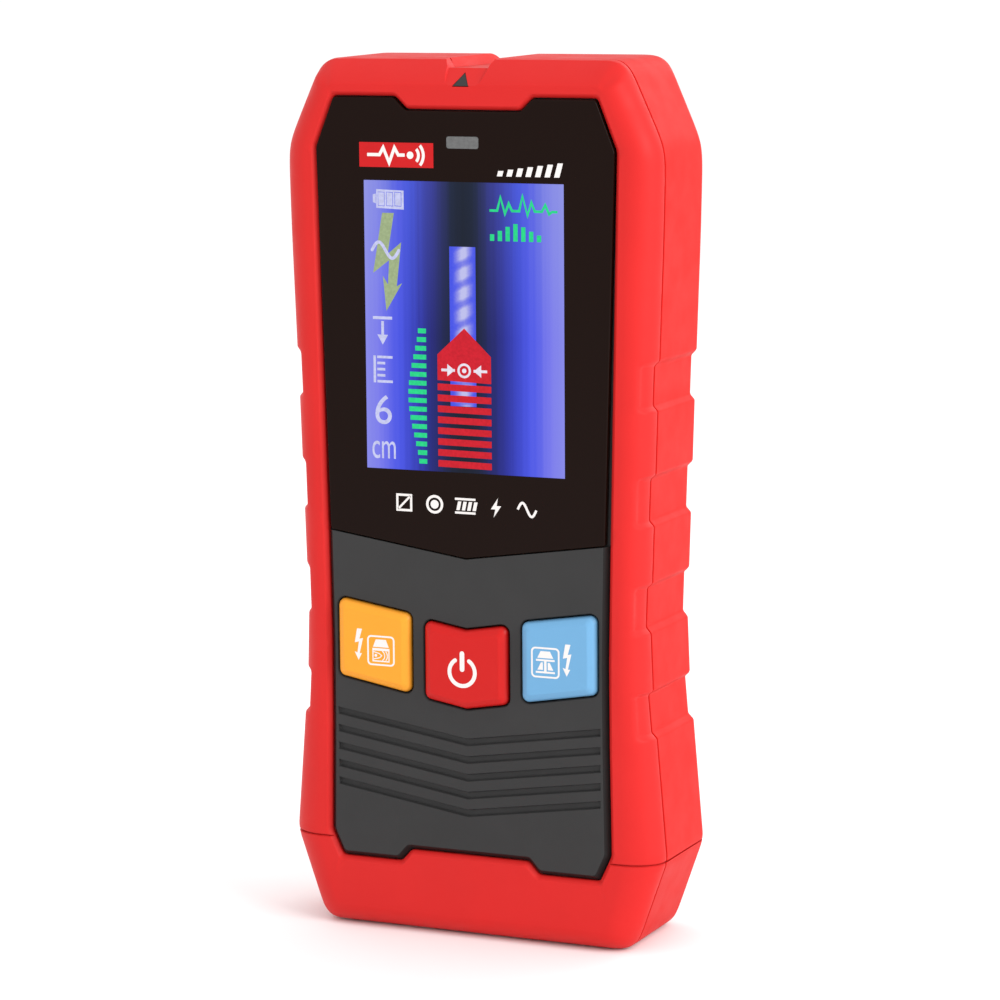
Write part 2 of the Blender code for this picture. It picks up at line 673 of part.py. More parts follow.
def make_battery():
    cell = box("battery", (-25.0, 21.4), (5.6, 22.1), (5.6, 31.4),
               material("battery_jacket", (0.03, 0.05, 0.12), 0.2, 0.35))
    def post(depth, z, radius, x1, name):
        turn = [2 * math.pi * i / 16 for i in range(16)]
        ring = [(depth + radius * math.cos(a), z + radius * math.sin(a)) for a in turn]
        return loft(name, [[(x, d, h) for d, h in ring] for x in (21.0, x1)])
    join(cell, post(13.85, 12.2, 2.6, 22.9, "plus"), post(13.85, 24.8, 3.6, 22.9, "minus"))
    snap = box("battery_snap", (23.1, 25.0), (8.4, 19.3), (6.8, 30.2),
               material("snap_black", (0.02, 0.02, 0.02), roughness=0.6))
    red, black = (material("lead_red", (0.6, 0.02, 0.02)), material("lead_black", (0.02, 0.02, 0.02)))
    for name, depth, end, look in (("lead_red", 11.0, 17.0, red), ("lead_black", 13.0, 14.4, black)):
        tube(name, smooth_path([
            (23.0, depth, 30.7), (22.4, depth, 33.4), (21.0, depth + 0.4, 36.5),
            (end + 1.0, depth + 0.2, 39.5), (end, 11.6, 42.5), (end, 9.3, 43.0),
        ]), 0.6, look)
    return snap


def make_fasteners():
    zinc = material("screw_zinc", (0.55, 0.55, 0.57), 1.0, 0.3)
    for i, (x, z) in enumerate(CASE_SCREWS, 1):
        screw(f"case_screw_{i}", x, z, 21.35, 2.4, 1.7, 1.22, 6.0, zinc)
    for i, (x, z) in enumerate(BOARD_SCREWS, 1):
        screw(f"board_screw_{i}", x, z, BOARD_BACK + 0.15, 1.9, 1.3, 0.92, 4.2, zinc)
    screw("door_screw", 0.0, 38.0, BACK - 1.0, 2.3, 0.9, 1.1, 14.5, zinc)
    insert = round_rod("door_insert", 0.0, 38.0, [(17.1, 1.88), (22.0, 1.88)],
                       material("insert_brass", (0.75, 0.5, 0.15), 1.0, 0.3))
    cut(insert, round_rod("bore", 0.0, 38.0, [(15.0, 1.25), (25.0, 1.25)], sides=16))


def make_back_trim():
    box("rear_label", (-17.0, 17.0), (BACK - 0.3, BACK - 0.05), (74.0, 106.0),
        material("label_silver", (0.6, 0.6, 0.6), 0.3, 0.4))
    felt = material("felt_black", (0.02, 0.02, 0.02), roughness=0.95)
    for i, (x, z) in enumerate(PADS, 1):
        box(f"glide_pad_{i}", (x - 5.0, x + 5.0), (BACK - 0.35, BACK + 0.55),
            (z - 2.0, z + 2.0), felt)


# --- assembly ------------------------------------------------------------------------------

MOVING = {
    "left_key": "left_key_slide",
    "power_key": "power_key_slide",
    "right_key": "right_key_slide",
    "battery_door": "door_slide",
    "door_screw": "door_slide",
}


def settle(thing):
    """Moves an object's origin to the middle of its mesh and shades its rounds smooth."""
    corners = [Vector(c) for c in thing.bound_box]
    middle = (corners[0] + corners[6]) / 2
    for vertex in thing.data.vertices:
        vertex.co -= middle
    thing.location = middle
    thing.data.shade_smooth()
    thing.data.set_sharp_from_angle(angle=math.radians(28))


def assemble():
    """Hangs the fixed parts on one empty and each moving part on an empty of its own."""
    empties = {}
    for name in ("housing", *sorted(set(MOVING.values()))):
        empties[name] = bpy.data.objects.new(name, None)
        empties[name].empty_display_size = 0.01
        bpy.context.scene.collection.objects.link(empties[name])
        if name != "housing":
            empties[name].parent = empties["housing"]
    for thing in [o for o in bpy.data.objects if o.type == "MESH"]:
        settle(thing)
        thing.parent = empties[MOVING.get(thing.name, "housing")]


def main():
    for found in list(bpy.data.objects):
        bpy.data.objects.remove(found)
    make_skin()
    make_front_shell()
    make_rear_case()
    make_door()
    make_window()
    left = [(-x, z) for x, z in reversed(SIDE_KEY)]
    make_key("left_key", left, material("key_yellow", (0.95, 0.42, 0.04), roughness=0.4))
    make_key("power_key", POWER_KEY, material("key_red", (0.7, 0.02, 0.02), roughness=0.4))
    make_key("right_key", SIDE_KEY, material("key_blue", (0.2, 0.48, 0.8), roughness=0.4))
    make_display()
    make_boards()
    make_coil()
    make_battery()
    make_fasteners()
    make_back_trim()
    assemble()


main()
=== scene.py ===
import math

import bmesh
import bpy
from mathutils import Matrix, Vector
from mathutils.geometry import tessellate_polygon

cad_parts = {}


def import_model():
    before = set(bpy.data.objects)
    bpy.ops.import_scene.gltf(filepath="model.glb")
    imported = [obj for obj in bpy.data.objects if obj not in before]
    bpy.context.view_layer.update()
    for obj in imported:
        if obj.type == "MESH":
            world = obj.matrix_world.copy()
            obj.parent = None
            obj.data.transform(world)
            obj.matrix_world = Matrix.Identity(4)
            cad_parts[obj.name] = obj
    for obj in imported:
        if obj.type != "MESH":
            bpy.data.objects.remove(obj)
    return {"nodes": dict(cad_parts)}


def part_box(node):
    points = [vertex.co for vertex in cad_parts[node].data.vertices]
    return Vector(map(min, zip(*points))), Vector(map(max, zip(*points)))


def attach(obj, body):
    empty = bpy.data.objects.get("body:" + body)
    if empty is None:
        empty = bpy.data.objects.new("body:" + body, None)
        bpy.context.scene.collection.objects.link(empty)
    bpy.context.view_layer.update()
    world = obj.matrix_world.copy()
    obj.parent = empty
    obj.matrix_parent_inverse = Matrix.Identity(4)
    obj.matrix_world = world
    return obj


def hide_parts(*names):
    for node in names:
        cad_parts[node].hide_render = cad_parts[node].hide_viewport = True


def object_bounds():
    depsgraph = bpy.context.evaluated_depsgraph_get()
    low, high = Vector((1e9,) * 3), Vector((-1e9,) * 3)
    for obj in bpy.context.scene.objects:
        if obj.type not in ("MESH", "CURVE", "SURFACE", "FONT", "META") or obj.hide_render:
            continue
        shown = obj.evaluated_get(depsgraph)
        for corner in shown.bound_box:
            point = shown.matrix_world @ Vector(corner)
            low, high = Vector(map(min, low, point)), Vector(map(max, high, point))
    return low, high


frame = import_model()
CAD_BOX = [list(corner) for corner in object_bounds()]

MM = 0.001
MERGE = 2e-7

# Lengths below are millimetres. DEPTH runs from the front face of the housing to the back.
CENTRE_DEPTH = -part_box("display_window")[0].y / MM
HEIGHT = 150.4
BACK = 24.6             # back face
SEAM = 5.0              # end of the front half
SEAM_GAP = 0.45         # groove between the halves
RECESS = 0.9            # finger recess
SKIN = 1.6              # thickness of the soft skin
SHELL_INSET = 3.4       # hollow of the front shell, from the outside
REAR_WALL = 2.4
BACK_WALL = 2.0
BACK_ROUND = 3.0
FRONT_WALL = 2.2
BOND = 0.15             # between skin and shell
DOOR_TOP = 15.6
DOOR_GAP = 0.3
DOOR_SCREW = (0.0, 38.0)
TONGUE_HALF = 27.5      # the door's tongue, half its width
TONGUE_TOP = 41.5
RAMP_FOOT = 146.0       # notch: z where its ramp starts, and the depth where it ends
RAMP_DEPTH = 2.7
NOTCH_FLOOR = 148.85
TOP_LIFT = 0.2          # the top's far end over its near end
TOP_SLOPE = (3.7, 0.955)    # the slope round the top's front edge: how deep, share of the way up
TOP_ZONE = (147.4, 2.9)     # where that slope takes over from the round: from which z, over what
TOP_CORNERS = (136.0, 8.0)  # where the back edge gets tighter, likewise
RECESS_FADE = (31, 28)      # degrees round the front edge: where a recess starts, its fade
POCKET = 1.4            # seat of the window
OPENING_BEVEL = 0.78
DISPLAY_CENTRE = 105.5
PICTURE = (18.32, 81.0, 130.0)      # half width, low edge, high edge
KEY_RISE = 1.2
KEY_GAP = 0.25
KEY_PROFILE = [         # (inset, depth below the key's face)
    (1.5, 0.0), (1.37, 0.012), (1.25, 0.05), (1.1, 0.13), (0.62, 0.42), (0.44, 0.56),
    (0.29, 0.72), (0.16, 0.9), (0.06, 1.1), (0.0, 1.35),
]
GRIP_GROOVES = 5
GRIP_TOP, GRIP_STEP, GRIP_LIFT, GRIP_HEIGHT, GRIP_HALF = 35.15, 3.1, 3.7, 1.22, 24.5
CHEVRON = 0.144         # slope of the window's lower edge
CASE_SCREWS = [(25.5, 128.0), (-25.5, 128.0), (25.5, 64.2), (-25.5, 64.2)]
BOARD_SCREWS = [(18.8, 137.0), (-18.8, 137.0), (18.8, 38.6), (-18.8, 38.6)]
SENSOR_PINS = [(18.6, 66.0), (-18.6, 66.0), (18.6, 134.5), (-18.6, 134.5)]
PADS = [(21.0, 138.5), (-21.0, 138.5), (22.0, 46.5), (-22.0, 46.5)]

# Right half of the housing: rim (x, z), outermost surface (x, z), finger recess, rounding.
OUTLINE = [
    (0.0, 146.0, 0.0, 150.4, 0, 0),
    (24.2, 146.0, 25.0, 150.4, 0, 2.0),
    (24.7, 145.8, 26.6, 150.05, 0, 1.5),
    (25.1, 145.3, 27.9, 149.1, 0, 1.5),
    (25.5, 144.5, 28.9, 147.5, 0, 2.0),
    (28.9, 136.2, 33.1, 138.4, 0, 2.5),
    (29.15, 135.0, 34.0, 135.9, 0, 2.0),
    (29.2, 133.5, 34.32, 133.0, 0, 3.0),
    (28.9, 121.0, 34.05, 121.0, 0, 5.0),
    (28.35, 100.9, 33.3, 100.9, 0, 0.3),
    (28.3, 99.9, 33.25, 99.9, 1, 0.3),
    (28.1, 93.3, 33.0, 93.3, 1, 0.3),
    (28.08, 92.4, 32.95, 92.4, 0, 0.3),
    (27.9, 81.8, 32.6, 81.8, 0, 0.3),
    (27.85, 80.9, 32.57, 80.9, 1, 0.3),
    (27.75, 73.9, 32.32, 73.9, 1, 0.3),
    (27.7, 73.0, 32.3, 73.0, 0, 0.3),
    (27.6, 63.4, 31.98, 63.4, 0, 0.3),
    (27.58, 62.5, 31.96, 62.5, 1, 0.3),
    (27.5, 55.8, 31.75, 55.8, 1, 0.3),
    (27.5, 54.8, 31.72, 54.8, 0, 0.3),
    (27.4, 45.1, 32.1, 45.1, 0, 0.3),
    (27.4, 44.3, 32.15, 44.3, 1, 0.3),
    (27.5, 37.9, 32.7, 37.9, 1, 0.3),
    (27.55, 36.9, 32.8, 36.9, 0, 0.3),
    (28.2, 16.6, 34.55, 16.6, 0, 0.8),
    (28.0, 15.0, 34.3, 15.0, 0, 0.8),
    (25.6, 6.0, 30.1, 3.2, 0, 2.0),
    (25.2, 5.0, 29.3, 1.5, 0, 1.2),
    (24.6, 4.3, 28.2, 0.45, 0, 1.0),
    (23.8, 4.0, 26.6, 0.0, 0, 1.5),
    (0.0, 4.0, 0.0, 0.0, 0, 0),
]
WINDOW = [
    (0.0, 141.8), (10.5, 141.8), (12.65, 143.95), (24.0, 143.95), (27.35, 135.45),
    (25.5, 69.95), (0.0, 66.3),
]
OPENING = [
    (0.0, 141.95), (10.4, 141.95), (12.55, 144.1), (24.1, 144.1), (27.5, 135.5), (26.2, 70.0),
    (25.85, 50.0), (25.95, 35.0), (26.25, 17.0), (24.15, 12.45), (12.95, 12.45),
    (11.05, 14.6), (0.0, 14.6),
]
SIDE_KEY = [(10.35, 56.15), (24.02, 58.3), (24.02, 44.65), (10.35, 42.25)]
POWER_KEY = [(0.0, 54.05), (7.73, 55.38), (7.73, 41.75), (0.0, 40.4), (-7.73, 41.75),
             (-7.73, 55.38)]


# --- materials ---

def linear(code):
    """Scene-linear colour of a hex code."""
    made = []
    for i in (0, 2, 4):
        c = int(code[i:i + 2], 16) / 255
        made.append(c / 12.92 if c <= 0.04045 else ((c + 0.055) / 1.055) ** 2.4)
    return (*made, 1.0)


class Look:
    """A Principled material and short ways to add nodes to it."""

    def __init__(self, name, colour, roughness=0.5, metallic=0.0, specular=0.5, coat=0.0,
                 coat_roughness=0.05):
        self.material = bpy.data.materials.new(name)
        self.material.use_nodes = True
        self.tree = self.material.node_tree
        self.shader = self.tree.nodes["Principled BSDF"]
        self.colour = linear(colour) if isinstance(colour, str) else (*colour, 1.0)
        self.roughness = roughness
        self.set("Base Color", self.colour)
        self.set("Roughness", roughness)
        self.set("Metallic", metallic)
        self.set("Specular IOR Level", specular)
        self.set("Coat Weight", coat)
        self.set("Coat Roughness", coat_roughness)
        self.material.diffuse_color = self.colour
        self._place = None
        self._bump = None

    def set(self, name, value):
        self.shader.inputs[name].default_value = value

    def node(self, kind, **inputs):
        made = self.tree.nodes.new(kind)
        for name, value in inputs.items():
            self.put(made, name.replace("_", " "), value)
        return made

    def put(self, node, name, value):
        socket = node.inputs[int(name)] if str(name).isdigit() else node.inputs[name]
        if isinstance(value, bpy.types.NodeSocket):
            self.tree.links.new(value, socket)
        else:
            socket.default_value = value

    def link(self, a, b):
        self.tree.links.new(a, b)

    @property
    def place(self):
        if self._place is None:
            self._place = self.tree.nodes.new("ShaderNodeTexCoord").outputs["Object"]
        return self._place

    def mix(self, factor, a, b):
        """A colour between a and b; either may be a socket."""
        made = self.tree.nodes.new("ShaderNodeMix")
        made.data_type = "RGBA"
        for name, value in (("Factor", factor), ("A", a), ("B", b)):
            self.put(made, name, value)
        return made.outputs["Result"]

    def math(self, operation, *values):
        made = self.node("ShaderNodeMath")
        made.operation = operation
        for i, value in enumerate(values):
            self.put(made, i, value)
        return made.outputs[0]

    def ripple(self, distance, strength, scale, *args, **more):
        """A bump made of noise."""
        self.bump(self.noise(scale, *args, **more), distance, strength)
        return self

    def noise(self, scale, detail=2.0, roughness=0.5, stretch=None, distortion=0.0):
        """A noise between 0 and 1; scale is features per metre."""
        where = self.place
        if stretch:
            mapping = self.node("ShaderNodeMapping", Vector=where)
            mapping.inputs["Scale"].default_value = stretch
            where = mapping.outputs[0]
        made = self.node("ShaderNodeTexNoise", Vector=where, Scale=scale, Detail=detail,
                         Roughness=roughness, Distortion=distortion)
        return made.outputs["Fac"]

    def spread(self, value, low, high, start=0.3, end=0.7):
        made = self.node("ShaderNodeMapRange")
        for name, v in (("Value", value), ("From Min", start), ("From Max", end),
                        ("To Min", low), ("To Max", high)):
            self.put(made, name, v)
        return made.outputs["Result"]

    def vary_colour(self, scale, amount):
        """Mottles the base colour a little."""
        low = tuple(c * (1 - amount) for c in self.colour[:3])
        high = tuple(min(1.0, c * (1 + amount)) for c in self.colour[:3])
        share = self.spread(self.noise(scale, 3.0), 0.0, 1.0)
        self.link(self.mix(share, (*low, 1.0), (*high, 1.0)), self.shader.inputs["Base Color"])
        return self

    def vary_roughness(self, scale, amount, stretch=None):
        found = self.noise(scale, 3.0, stretch=stretch)
        self.link(self.spread(found, self.roughness - amount, self.roughness + amount),
                  self.shader.inputs["Roughness"])
        return self

    def bump(self, height, distance, strength=1.0):
        made = self.node("ShaderNodeBump", Height=height, Strength=strength, Distance=distance)
        if self._bump is not None:
            self.link(self._bump, made.inputs["Normal"])
        self._bump = made.outputs["Normal"]
        for name in ("Normal", "Coat Normal"):
            self.link(self._bump, self.shader.inputs[name])

    def grain(self, scale=3200, distance=6e-6, strength=0.6):
        """The fine spark-eroded grain of a mould."""
        return self.ripple(distance, strength, scale, 2.0, 0.6)


def moulded(name, colour, roughness=0.45, specular=0.3, grain=3200, depth=6e-6, vary=0.03):
    look = Look(name, colour, roughness, specular=specular)
    look.vary_colour(60, vary).vary_roughness(220, 0.05)
    return look.ripple(3e-5, 0.10, 120, 1.0).grain(grain, depth)


LOOKS = {}
MOULDED = {
    "skin": ("soft_red_skin", (0.61, 0.015, 0.0135), 0.5, 0.2, 2600, 9e-6),
    "case": ("satin_red_case", (0.60, 0.0135, 0.0105), 0.5, 0.085, 3400, 6e-6),
    "door": ("satin_red_door", (0.57, 0.0122, 0.0098), 0.5, 0.1, 3400, 6e-6),
    "shell": ("matte_grey_shell", (0.0305, 0.0298, 0.0300), 0.55, 0.24, 2800, 1.2e-5, 0.06),
    # painted shade: this darker grey on the panel's bevel stands for the shade in the groove round
    # the panel; its lower roughness is a glossier finish
    "shell_edge_shade": ("shell_edge_shade", (0.0125, 0.0115, 0.0115), 0.4, 0.16, 2800, 6e-6, 0.06),
    "yellow": ("key_yellow", (0.84, 0.324, 0.021), 0.4, 0.25, 3600, 4e-6, 0.015),
    "key_red": ("key_key_red", (0.547, 0.0048, 0.0035), 0.4, 0.25, 3600, 4e-6, 0.015),
    "blue": ("key_blue", (0.143, 0.355, 0.588), 0.4, 0.25, 3600, 4e-6, 0.015),
    "cream": ("socket_cream", (0.72, 0.68, 0.56), 0.5, 0.4),
    "ferrite": ("ferrite_grey", (0.07, 0.07, 0.075), 0.7, 0.3, 4000, 2e-5, 0.2),
    "vinyl": ("vinyl_black", (0.022, 0.022, 0.023), 0.55, 0.35, 2400, 1e-5),
    "wire_red": ("wire_red", (0.55, 0.014, 0.012), 0.42, 0.4, 3000, 5e-6),
    "wire_black": ("wire_black", (0.02, 0.02, 0.02), 0.42, 0.4, 3000, 5e-6),
}
GLOWS = {
    "lit_olive": ("A7B98C", 0.92), "lit_pale": ("CDD0F6", 0.95), "lit_green": ("2BE391", 0.9),
    "lit_red": ("DB2031", 0.9), "lit_white": ("F0E9F6", 0.95),
}
LIT_BASE = dict(colour=(0.002, 0.002, 0.002), roughness=0.07, specular=0.08)


def make_looks():
    made = LOOKS
    for name, values in MOULDED.items():
        made[name] = moulded(*values)
    # painted shade: each key's colour darkens towards its foot, where it sinks into the panel
    for name in ("yellow", "key_red", "blue"):
        darken_foot(made[name], -0.62, 0.12, 0.42)
    look = made["lens"] = Look("gloss_black_window", (0.0083, 0.0028, 0.0016), 0.07, specular=0.08)
    look.vary_roughness(90, 0.015).ripple(2e-5, 0.05, 25, 1.0)
    made["ink"] = Look("white_ink", (0.78, 0.74, 0.72), 0.55, specular=0.3).grain(5200, 3e-6)
    look = made["badge"] = Look("badge_red", (0.53, 0.007, 0.009), 0.35, specular=0.18)
    look.vary_colour(300, 0.03)
    look = made["zinc"] = Look("zinc_plated_steel", (0.62, 0.62, 0.63), 0.3, metallic=1.0)
    look.vary_roughness(900, 0.08).ripple(4e-6, 0.5, 1500, 3.0)
    look = made["felt"] = Look("black_felt", (0.018, 0.018, 0.019), 0.95, specular=0.15)
    look.vary_colour(2600, 0.5).ripple(9e-5, 0.9, 5200, 4.0, 0.7, distortion=1.5)
    look.set("Sheen Weight", 0.35)
    look.set("Sheen Roughness", 0.6)
    look = made["foil"] = Look("label_foil", (0.42, 0.42, 0.43), 0.42, metallic=0.35, specular=0.4)
    look.vary_roughness(700, 0.05, stretch=(1, 1, 14))
    look.ripple(2e-6, 0.5, 1500, 2.0, stretch=(1, 1, 0.05))
    look = made["print"] = Look("label_print", (0.02, 0.02, 0.022), 0.5, specular=0.25)
    look.grain(4000, 3e-6)
    look = made["green"] = Look("solder_mask", (0.008, 0.13, 0.045), 0.33, specular=0.5)
    look.vary_colour(400, 0.18).ripple(3e-5, 0.3, 700, 1.0)
    look = made["chip"] = Look("chip_black", (0.018, 0.018, 0.019), 0.5, specular=0.4)
    look.grain(6000, 8e-6)
    look = made["tin"] = Look("tinned_steel", (0.66, 0.65, 0.62), 0.34, metallic=1.0)
    look.vary_roughness(1100, 0.09).ripple(3e-6, 0.5, 1800, 2.0, stretch=(1, 1, 0.1))
    look = made["amber"] = Look("flex_amber", (0.5, 0.2, 0.025), 0.3, specular=0.5)
    look.vary_colour(900, 0.12).ripple(8e-6, 0.4, 1600, 1.0, stretch=(12, 1, 0.2))
    look = made["copper"] = Look("lacquered_copper", (0.62, 0.21, 0.09), 0.3, metallic=1.0,
                                 coat=0.4)
    look.vary_colour(1500, 0.15).ripple(2e-5, 0.6, 2600, 2.0, stretch=(1, 6, 1))
    look = made["brass"] = Look("turned_brass", (0.78, 0.52, 0.18), 0.28, metallic=1.0)
    look.vary_roughness(1400, 0.08).grain(3000, 4e-6)
    look = made["jacket"] = Look("battery_jacket", (0.018, 0.022, 0.03), 0.28, metallic=0.2,
                                 coat=0.35, coat_roughness=0.12)
    look.vary_colour(500, 0.15).vary_roughness(160, 0.04).ripple(4e-5, 0.2, 90, 1.0)
    look = made["copper_print"] = Look("battery_band", (0.62, 0.30, 0.12), 0.27, metallic=0.75,
                                       coat=0.35)
    look.vary_roughness(160, 0.04).ripple(4e-5, 0.2, 90, 1.0)
    look = made["pipe"] = Look("indicator_grey", (0.125, 0.125, 0.125), 0.3, specular=0.28)
    look.vary_colour(2200, 0.12).ripple(8e-6, 0.4, 2600, 1.0, stretch=(1, 1, 0.02))
    look = made["lamp"] = Look("led_white", (0.8, 0.79, 0.7), 0.4, specular=0.4)
    look.vary_colour(900, 0.05)
    for name, values in GLOWS.items():
        glow(name, *values)
    lit_backdrop()
    lit_bar()


def darken_foot(look, start, end, share):
    """Paints shade into a key's colour: darker from one depth to a deeper one, towards the key's
    foot.
    """
    depth = look.node("ShaderNodeSeparateXYZ", Vector=look.place).outputs["Y"]
    found = look.spread(depth, 0.0, 1.0, *((d - CENTRE_DEPTH) * MM for d in (start, end)))
    base = look.shader.inputs["Base Color"]
    dark = (*(c * share for c in look.colour[:3]), 1.0)
    look.link(look.mix(found, base.links[0].from_socket, dark), base)


def light(look, colour, strength):
    """Gives a look its own light and keeps it."""
    look.link(colour, look.shader.inputs["Emission Color"])
    look.set("Emission Strength", strength)
    LOOKS[look.material.name] = look


def glow(name, code, share):
    """Lit pixels: mostly their own light, under the same gloss as the window."""
    look = Look(name, **LIT_BASE)
    bright = tuple(c * share for c in linear(code)[:3])
    low = (*(c * 0.9 for c in bright), 1.0)
    high = (*(min(1.0, c * 1.08) for c in bright), 1.0)
    light(look, look.mix(look.spread(look.noise(2300, 1.0), 0.0, 1.0), low, high), 1.0)


def ramp_of(look, value, stops):
    ramp = look.node("ShaderNodeValToRGB", Fac=value)
    ramp.color_ramp.interpolation = "LINEAR"
    points = ramp.color_ramp.elements
    while len(points) > 1:
        points.remove(points[-1])
    points[0].position, points[0].color = stops[0][0], linear(stops[0][1])
    for position, code in stops[1:]:
        points.new(position).color = linear(code)
    return ramp.outputs["Color"]


def lit_backdrop():
    """The display's field: dark down the middle, violet at both sides, with faint columns."""
    look = Look("lit_field", **LIT_BASE)
    apart = look.node("ShaderNodeSeparateXYZ", Vector=look.place)
    side = look.math("ABSOLUTE", apart.outputs["X"])
    streak = look.noise(1500, 2.0, stretch=(1, 1, 0.002))
    total = look.math("ADD", side, look.spread(streak, -0.0004, 0.0004))
    share = look.spread(total, 0.0, 1.0, 0.0, 0.0184)
    top = ramp_of(look, share, [
        (0.0, "1A2233"), (0.11, "1E2840"), (0.22, "2F3570"), (0.32, "3A409B"), (0.43, "434DBC"),
        (0.54, "4A5BDF"), (0.65, "5963E6"), (0.75, "7079E4"), (0.86, "878CE8"), (1.0, "9398E8"),
    ])
    low = ramp_of(look, share, [
        (0.0, "151C2C"), (0.13, "182038"), (0.22, "1D2455"), (0.32, "242876"), (0.43, "2E35A2"),
        (0.54, "3C47CB"), (0.65, "4B57E8"), (0.75, "5D64EB"), (0.86, "7C7DEF"), (1.0, "8B8DEC"),
    ])
    upward = look.spread(apart.outputs["Z"], 0.0, 1.0, 0.104, 0.131)
    light(look, look.mix(upward, low, top), 0.97)


def lit_bar():
    """The picture of a ribbed rod: pale, with slanted shadows."""
    look = Look("lit_rod", **LIT_BASE)
    apart = look.node("ShaderNodeSeparateXYZ", Vector=look.place)
    across, height = apart.outputs["X"], apart.outputs["Z"]
    body = look.spread(look.math("ABSOLUTE", across), 1.0, 0.0, 0.0002, 0.0021)
    slope = look.math("MULTIPLY_ADD", across, -0.45, height)
    swing = look.math("SINE", look.math("MULTIPLY", slope, 2 * math.pi / 0.00335))
    tone = look.math("MULTIPLY", body, look.spread(swing, 0.42, 1.0, -0.9, 0.2))
    rough = look.math("MULTIPLY_ADD", look.noise(2600, 2.0), 0.22, tone)
    light(look, ramp_of(look, rough, [
        (0.0, "3E4FEA"), (0.25, "5560EE"), (0.5, "7C80EC"), (0.75, "A3A4EE"), (1.0, "C3C4F2"),
    ]), 0.95)


# --- meshes ---

def world(x, depth, z):
    """A point in the shared frame, in metres, from x, depth and z in millimetres."""
    return Vector((x * MM, (depth - CENTRE_DEPTH) * MM, z * MM))


def link_object(name, data, look=None):
    made = bpy.data.objects.new(name, data)
    bpy.context.scene.collection.objects.link(made)
    if look:
        data.materials.append(LOOKS[look].material)
    return made


def to_object(name, bm, look=None):
    mesh = bpy.data.meshes.new(name)
    bm.to_mesh(mesh)
    bm.free()
    return link_object(name, mesh, look)


def finish(name, bm, look=None):
    bmesh.ops.remove_doubles(bm, verts=bm.verts, dist=1e-7)
    bmesh.ops.recalc_face_normals(bm, faces=bm.faces)
    return to_object(name, bm, look)


def loft(name, loops, look=None):
    """A closed solid through loops of (x, depth, z) with equally many points."""
    bm = bmesh.new()
    rings = [[bm.verts.new(world(*p)) for p in loop] for loop in loops]
    count = len(rings[0])
    for a, b in zip(rings, rings[1:]):
        for i in range(count):
            j = (i + 1) % count
            bm.faces.new((a[i], a[j], b[j], b[i]))
    bmesh.ops.triangulate(bm, faces=bm.faces)
    for ring in (rings[0], rings[-1]):
        close_end(bm, ring)
    return finish(name, bm, look)


def close_end(bm, ring):
    """Caps a ring: by a fan from its middle where that works, or else by one face."""
    middle = sum((v.co for v in ring), Vector()) / len(ring)
    pairs = list(zip(ring, ring[1:] + ring[:1]))
    fan = [(a.co - middle).cross(b.co - middle) for a, b in pairs]
    total = sum(fan, Vector())
    if len(ring) < 12 or any(f.dot(total) <= 0.001 * f.length * total.length for f in fan):
        bm.faces.new(ring)
        return
    hub = bm.verts.new(middle)
    for a, b in pairs:
        bm.faces.new((a, b, hub))


def prism(name, polygon, front, back, look=None):
    return loft(name, [[(x, d, z) for x, z in polygon] for d in (front, back)], look)


def box(name, x, depth, z, look=None):
    corners = [(x[0], z[0]), (x[1], z[0]), (x[1], z[1]), (x[0], z[1])]
    return prism(name, corners, depth[0], depth[1], look)


def round_rod(name, x, z, stations, look=None, sides=24):
    turn = [2 * math.pi * i / sides for i in range(sides)]
    return loft(
        name,
        [[(x + r * math.cos(a), d, z + r * math.sin(a)) for a in turn] for d, r in stations],
        look,
    )


def boolean(body, tool, operation):
    """Cuts, joins or intersects at once, uses the tool up, and closes what the solver opened."""
    step = body.modifiers.new("step", "BOOLEAN")
    step.operation = operation
    step.solver = "EXACT"
    step.object = tool
    bpy.context.view_layer.update()
    graph = bpy.context.evaluated_depsgraph_get()
    result = bpy.data.meshes.new_from_object(body.evaluated_get(graph))
    body.modifiers.remove(step)
    bm = bmesh.new()
    bm.from_mesh(result)
    bmesh.ops.remove_doubles(bm, verts=bm.verts, dist=MERGE)
    bmesh.ops.dissolve_degenerate(bm, edges=bm.edges, dist=MERGE)
    bmesh.ops.holes_fill(bm, edges=[e for e in bm.edges if e.is_boundary], sides=4)
    bmesh.ops.triangulate(bm, faces=bm.faces)
    bm.to_mesh(result)
    bm.free()
    body.data = result
    bpy.data.objects.remove(tool)
    return body


def cut(body, *tools):
    for tool in tools:
        boolean(body, tool, "DIFFERENCE")
    return body


def join(body, *others):
    for other in others:
        boolean(body, other, "UNION")
    return body


def merge(name, objects):
    """One object holding the meshes of several that don't touch."""
    bm = bmesh.new()
    looks = []
    for found in objects:
        offset = len(bm.faces)
        bm.from_mesh(found.data)
        bm.faces.ensure_lookup_table()
        for material in found.data.materials:
            if material not in looks:
                looks.append(material)
        index = looks.index(found.data.materials[0])
        for face in bm.faces[offset:]:
            face.material_index = index
    for found in objects:
        bpy.data.objects.remove(found)
    made = to_object(name, bm)
    for look in looks:
        made.data.materials.append(look)
    return made


def smooth(obj, angle=30, weighted=True):
    obj.data.shade_smooth()
    obj.data.set_sharp_from_angle(angle=math.radians(angle))
    if weighted:
        step = obj.modifiers.new("normals", "WEIGHTED_NORMAL")
        step.keep_sharp = True
        step.weight = 100
    return obj


def dress(obj, look, name=None):
    """Gives an object its only look, and a name."""
    obj.data.materials.clear()
    obj.data.materials.append(LOOKS[look].material)
    if name:
        obj.name = name


def place(obj, body, slot, *nodes):
    """Says which body a piece rides on and the nodes that it replaces; slot is not used."""
    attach(obj, body)
    if nodes:
        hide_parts(*nodes)
    return obj


# --- outlines ---

def mirrored(half):
    """A whole outline from its right half, whose ends lie on the middle line."""
    return list(half) + [(-x, z) for x, z in reversed(half[1:-1])]


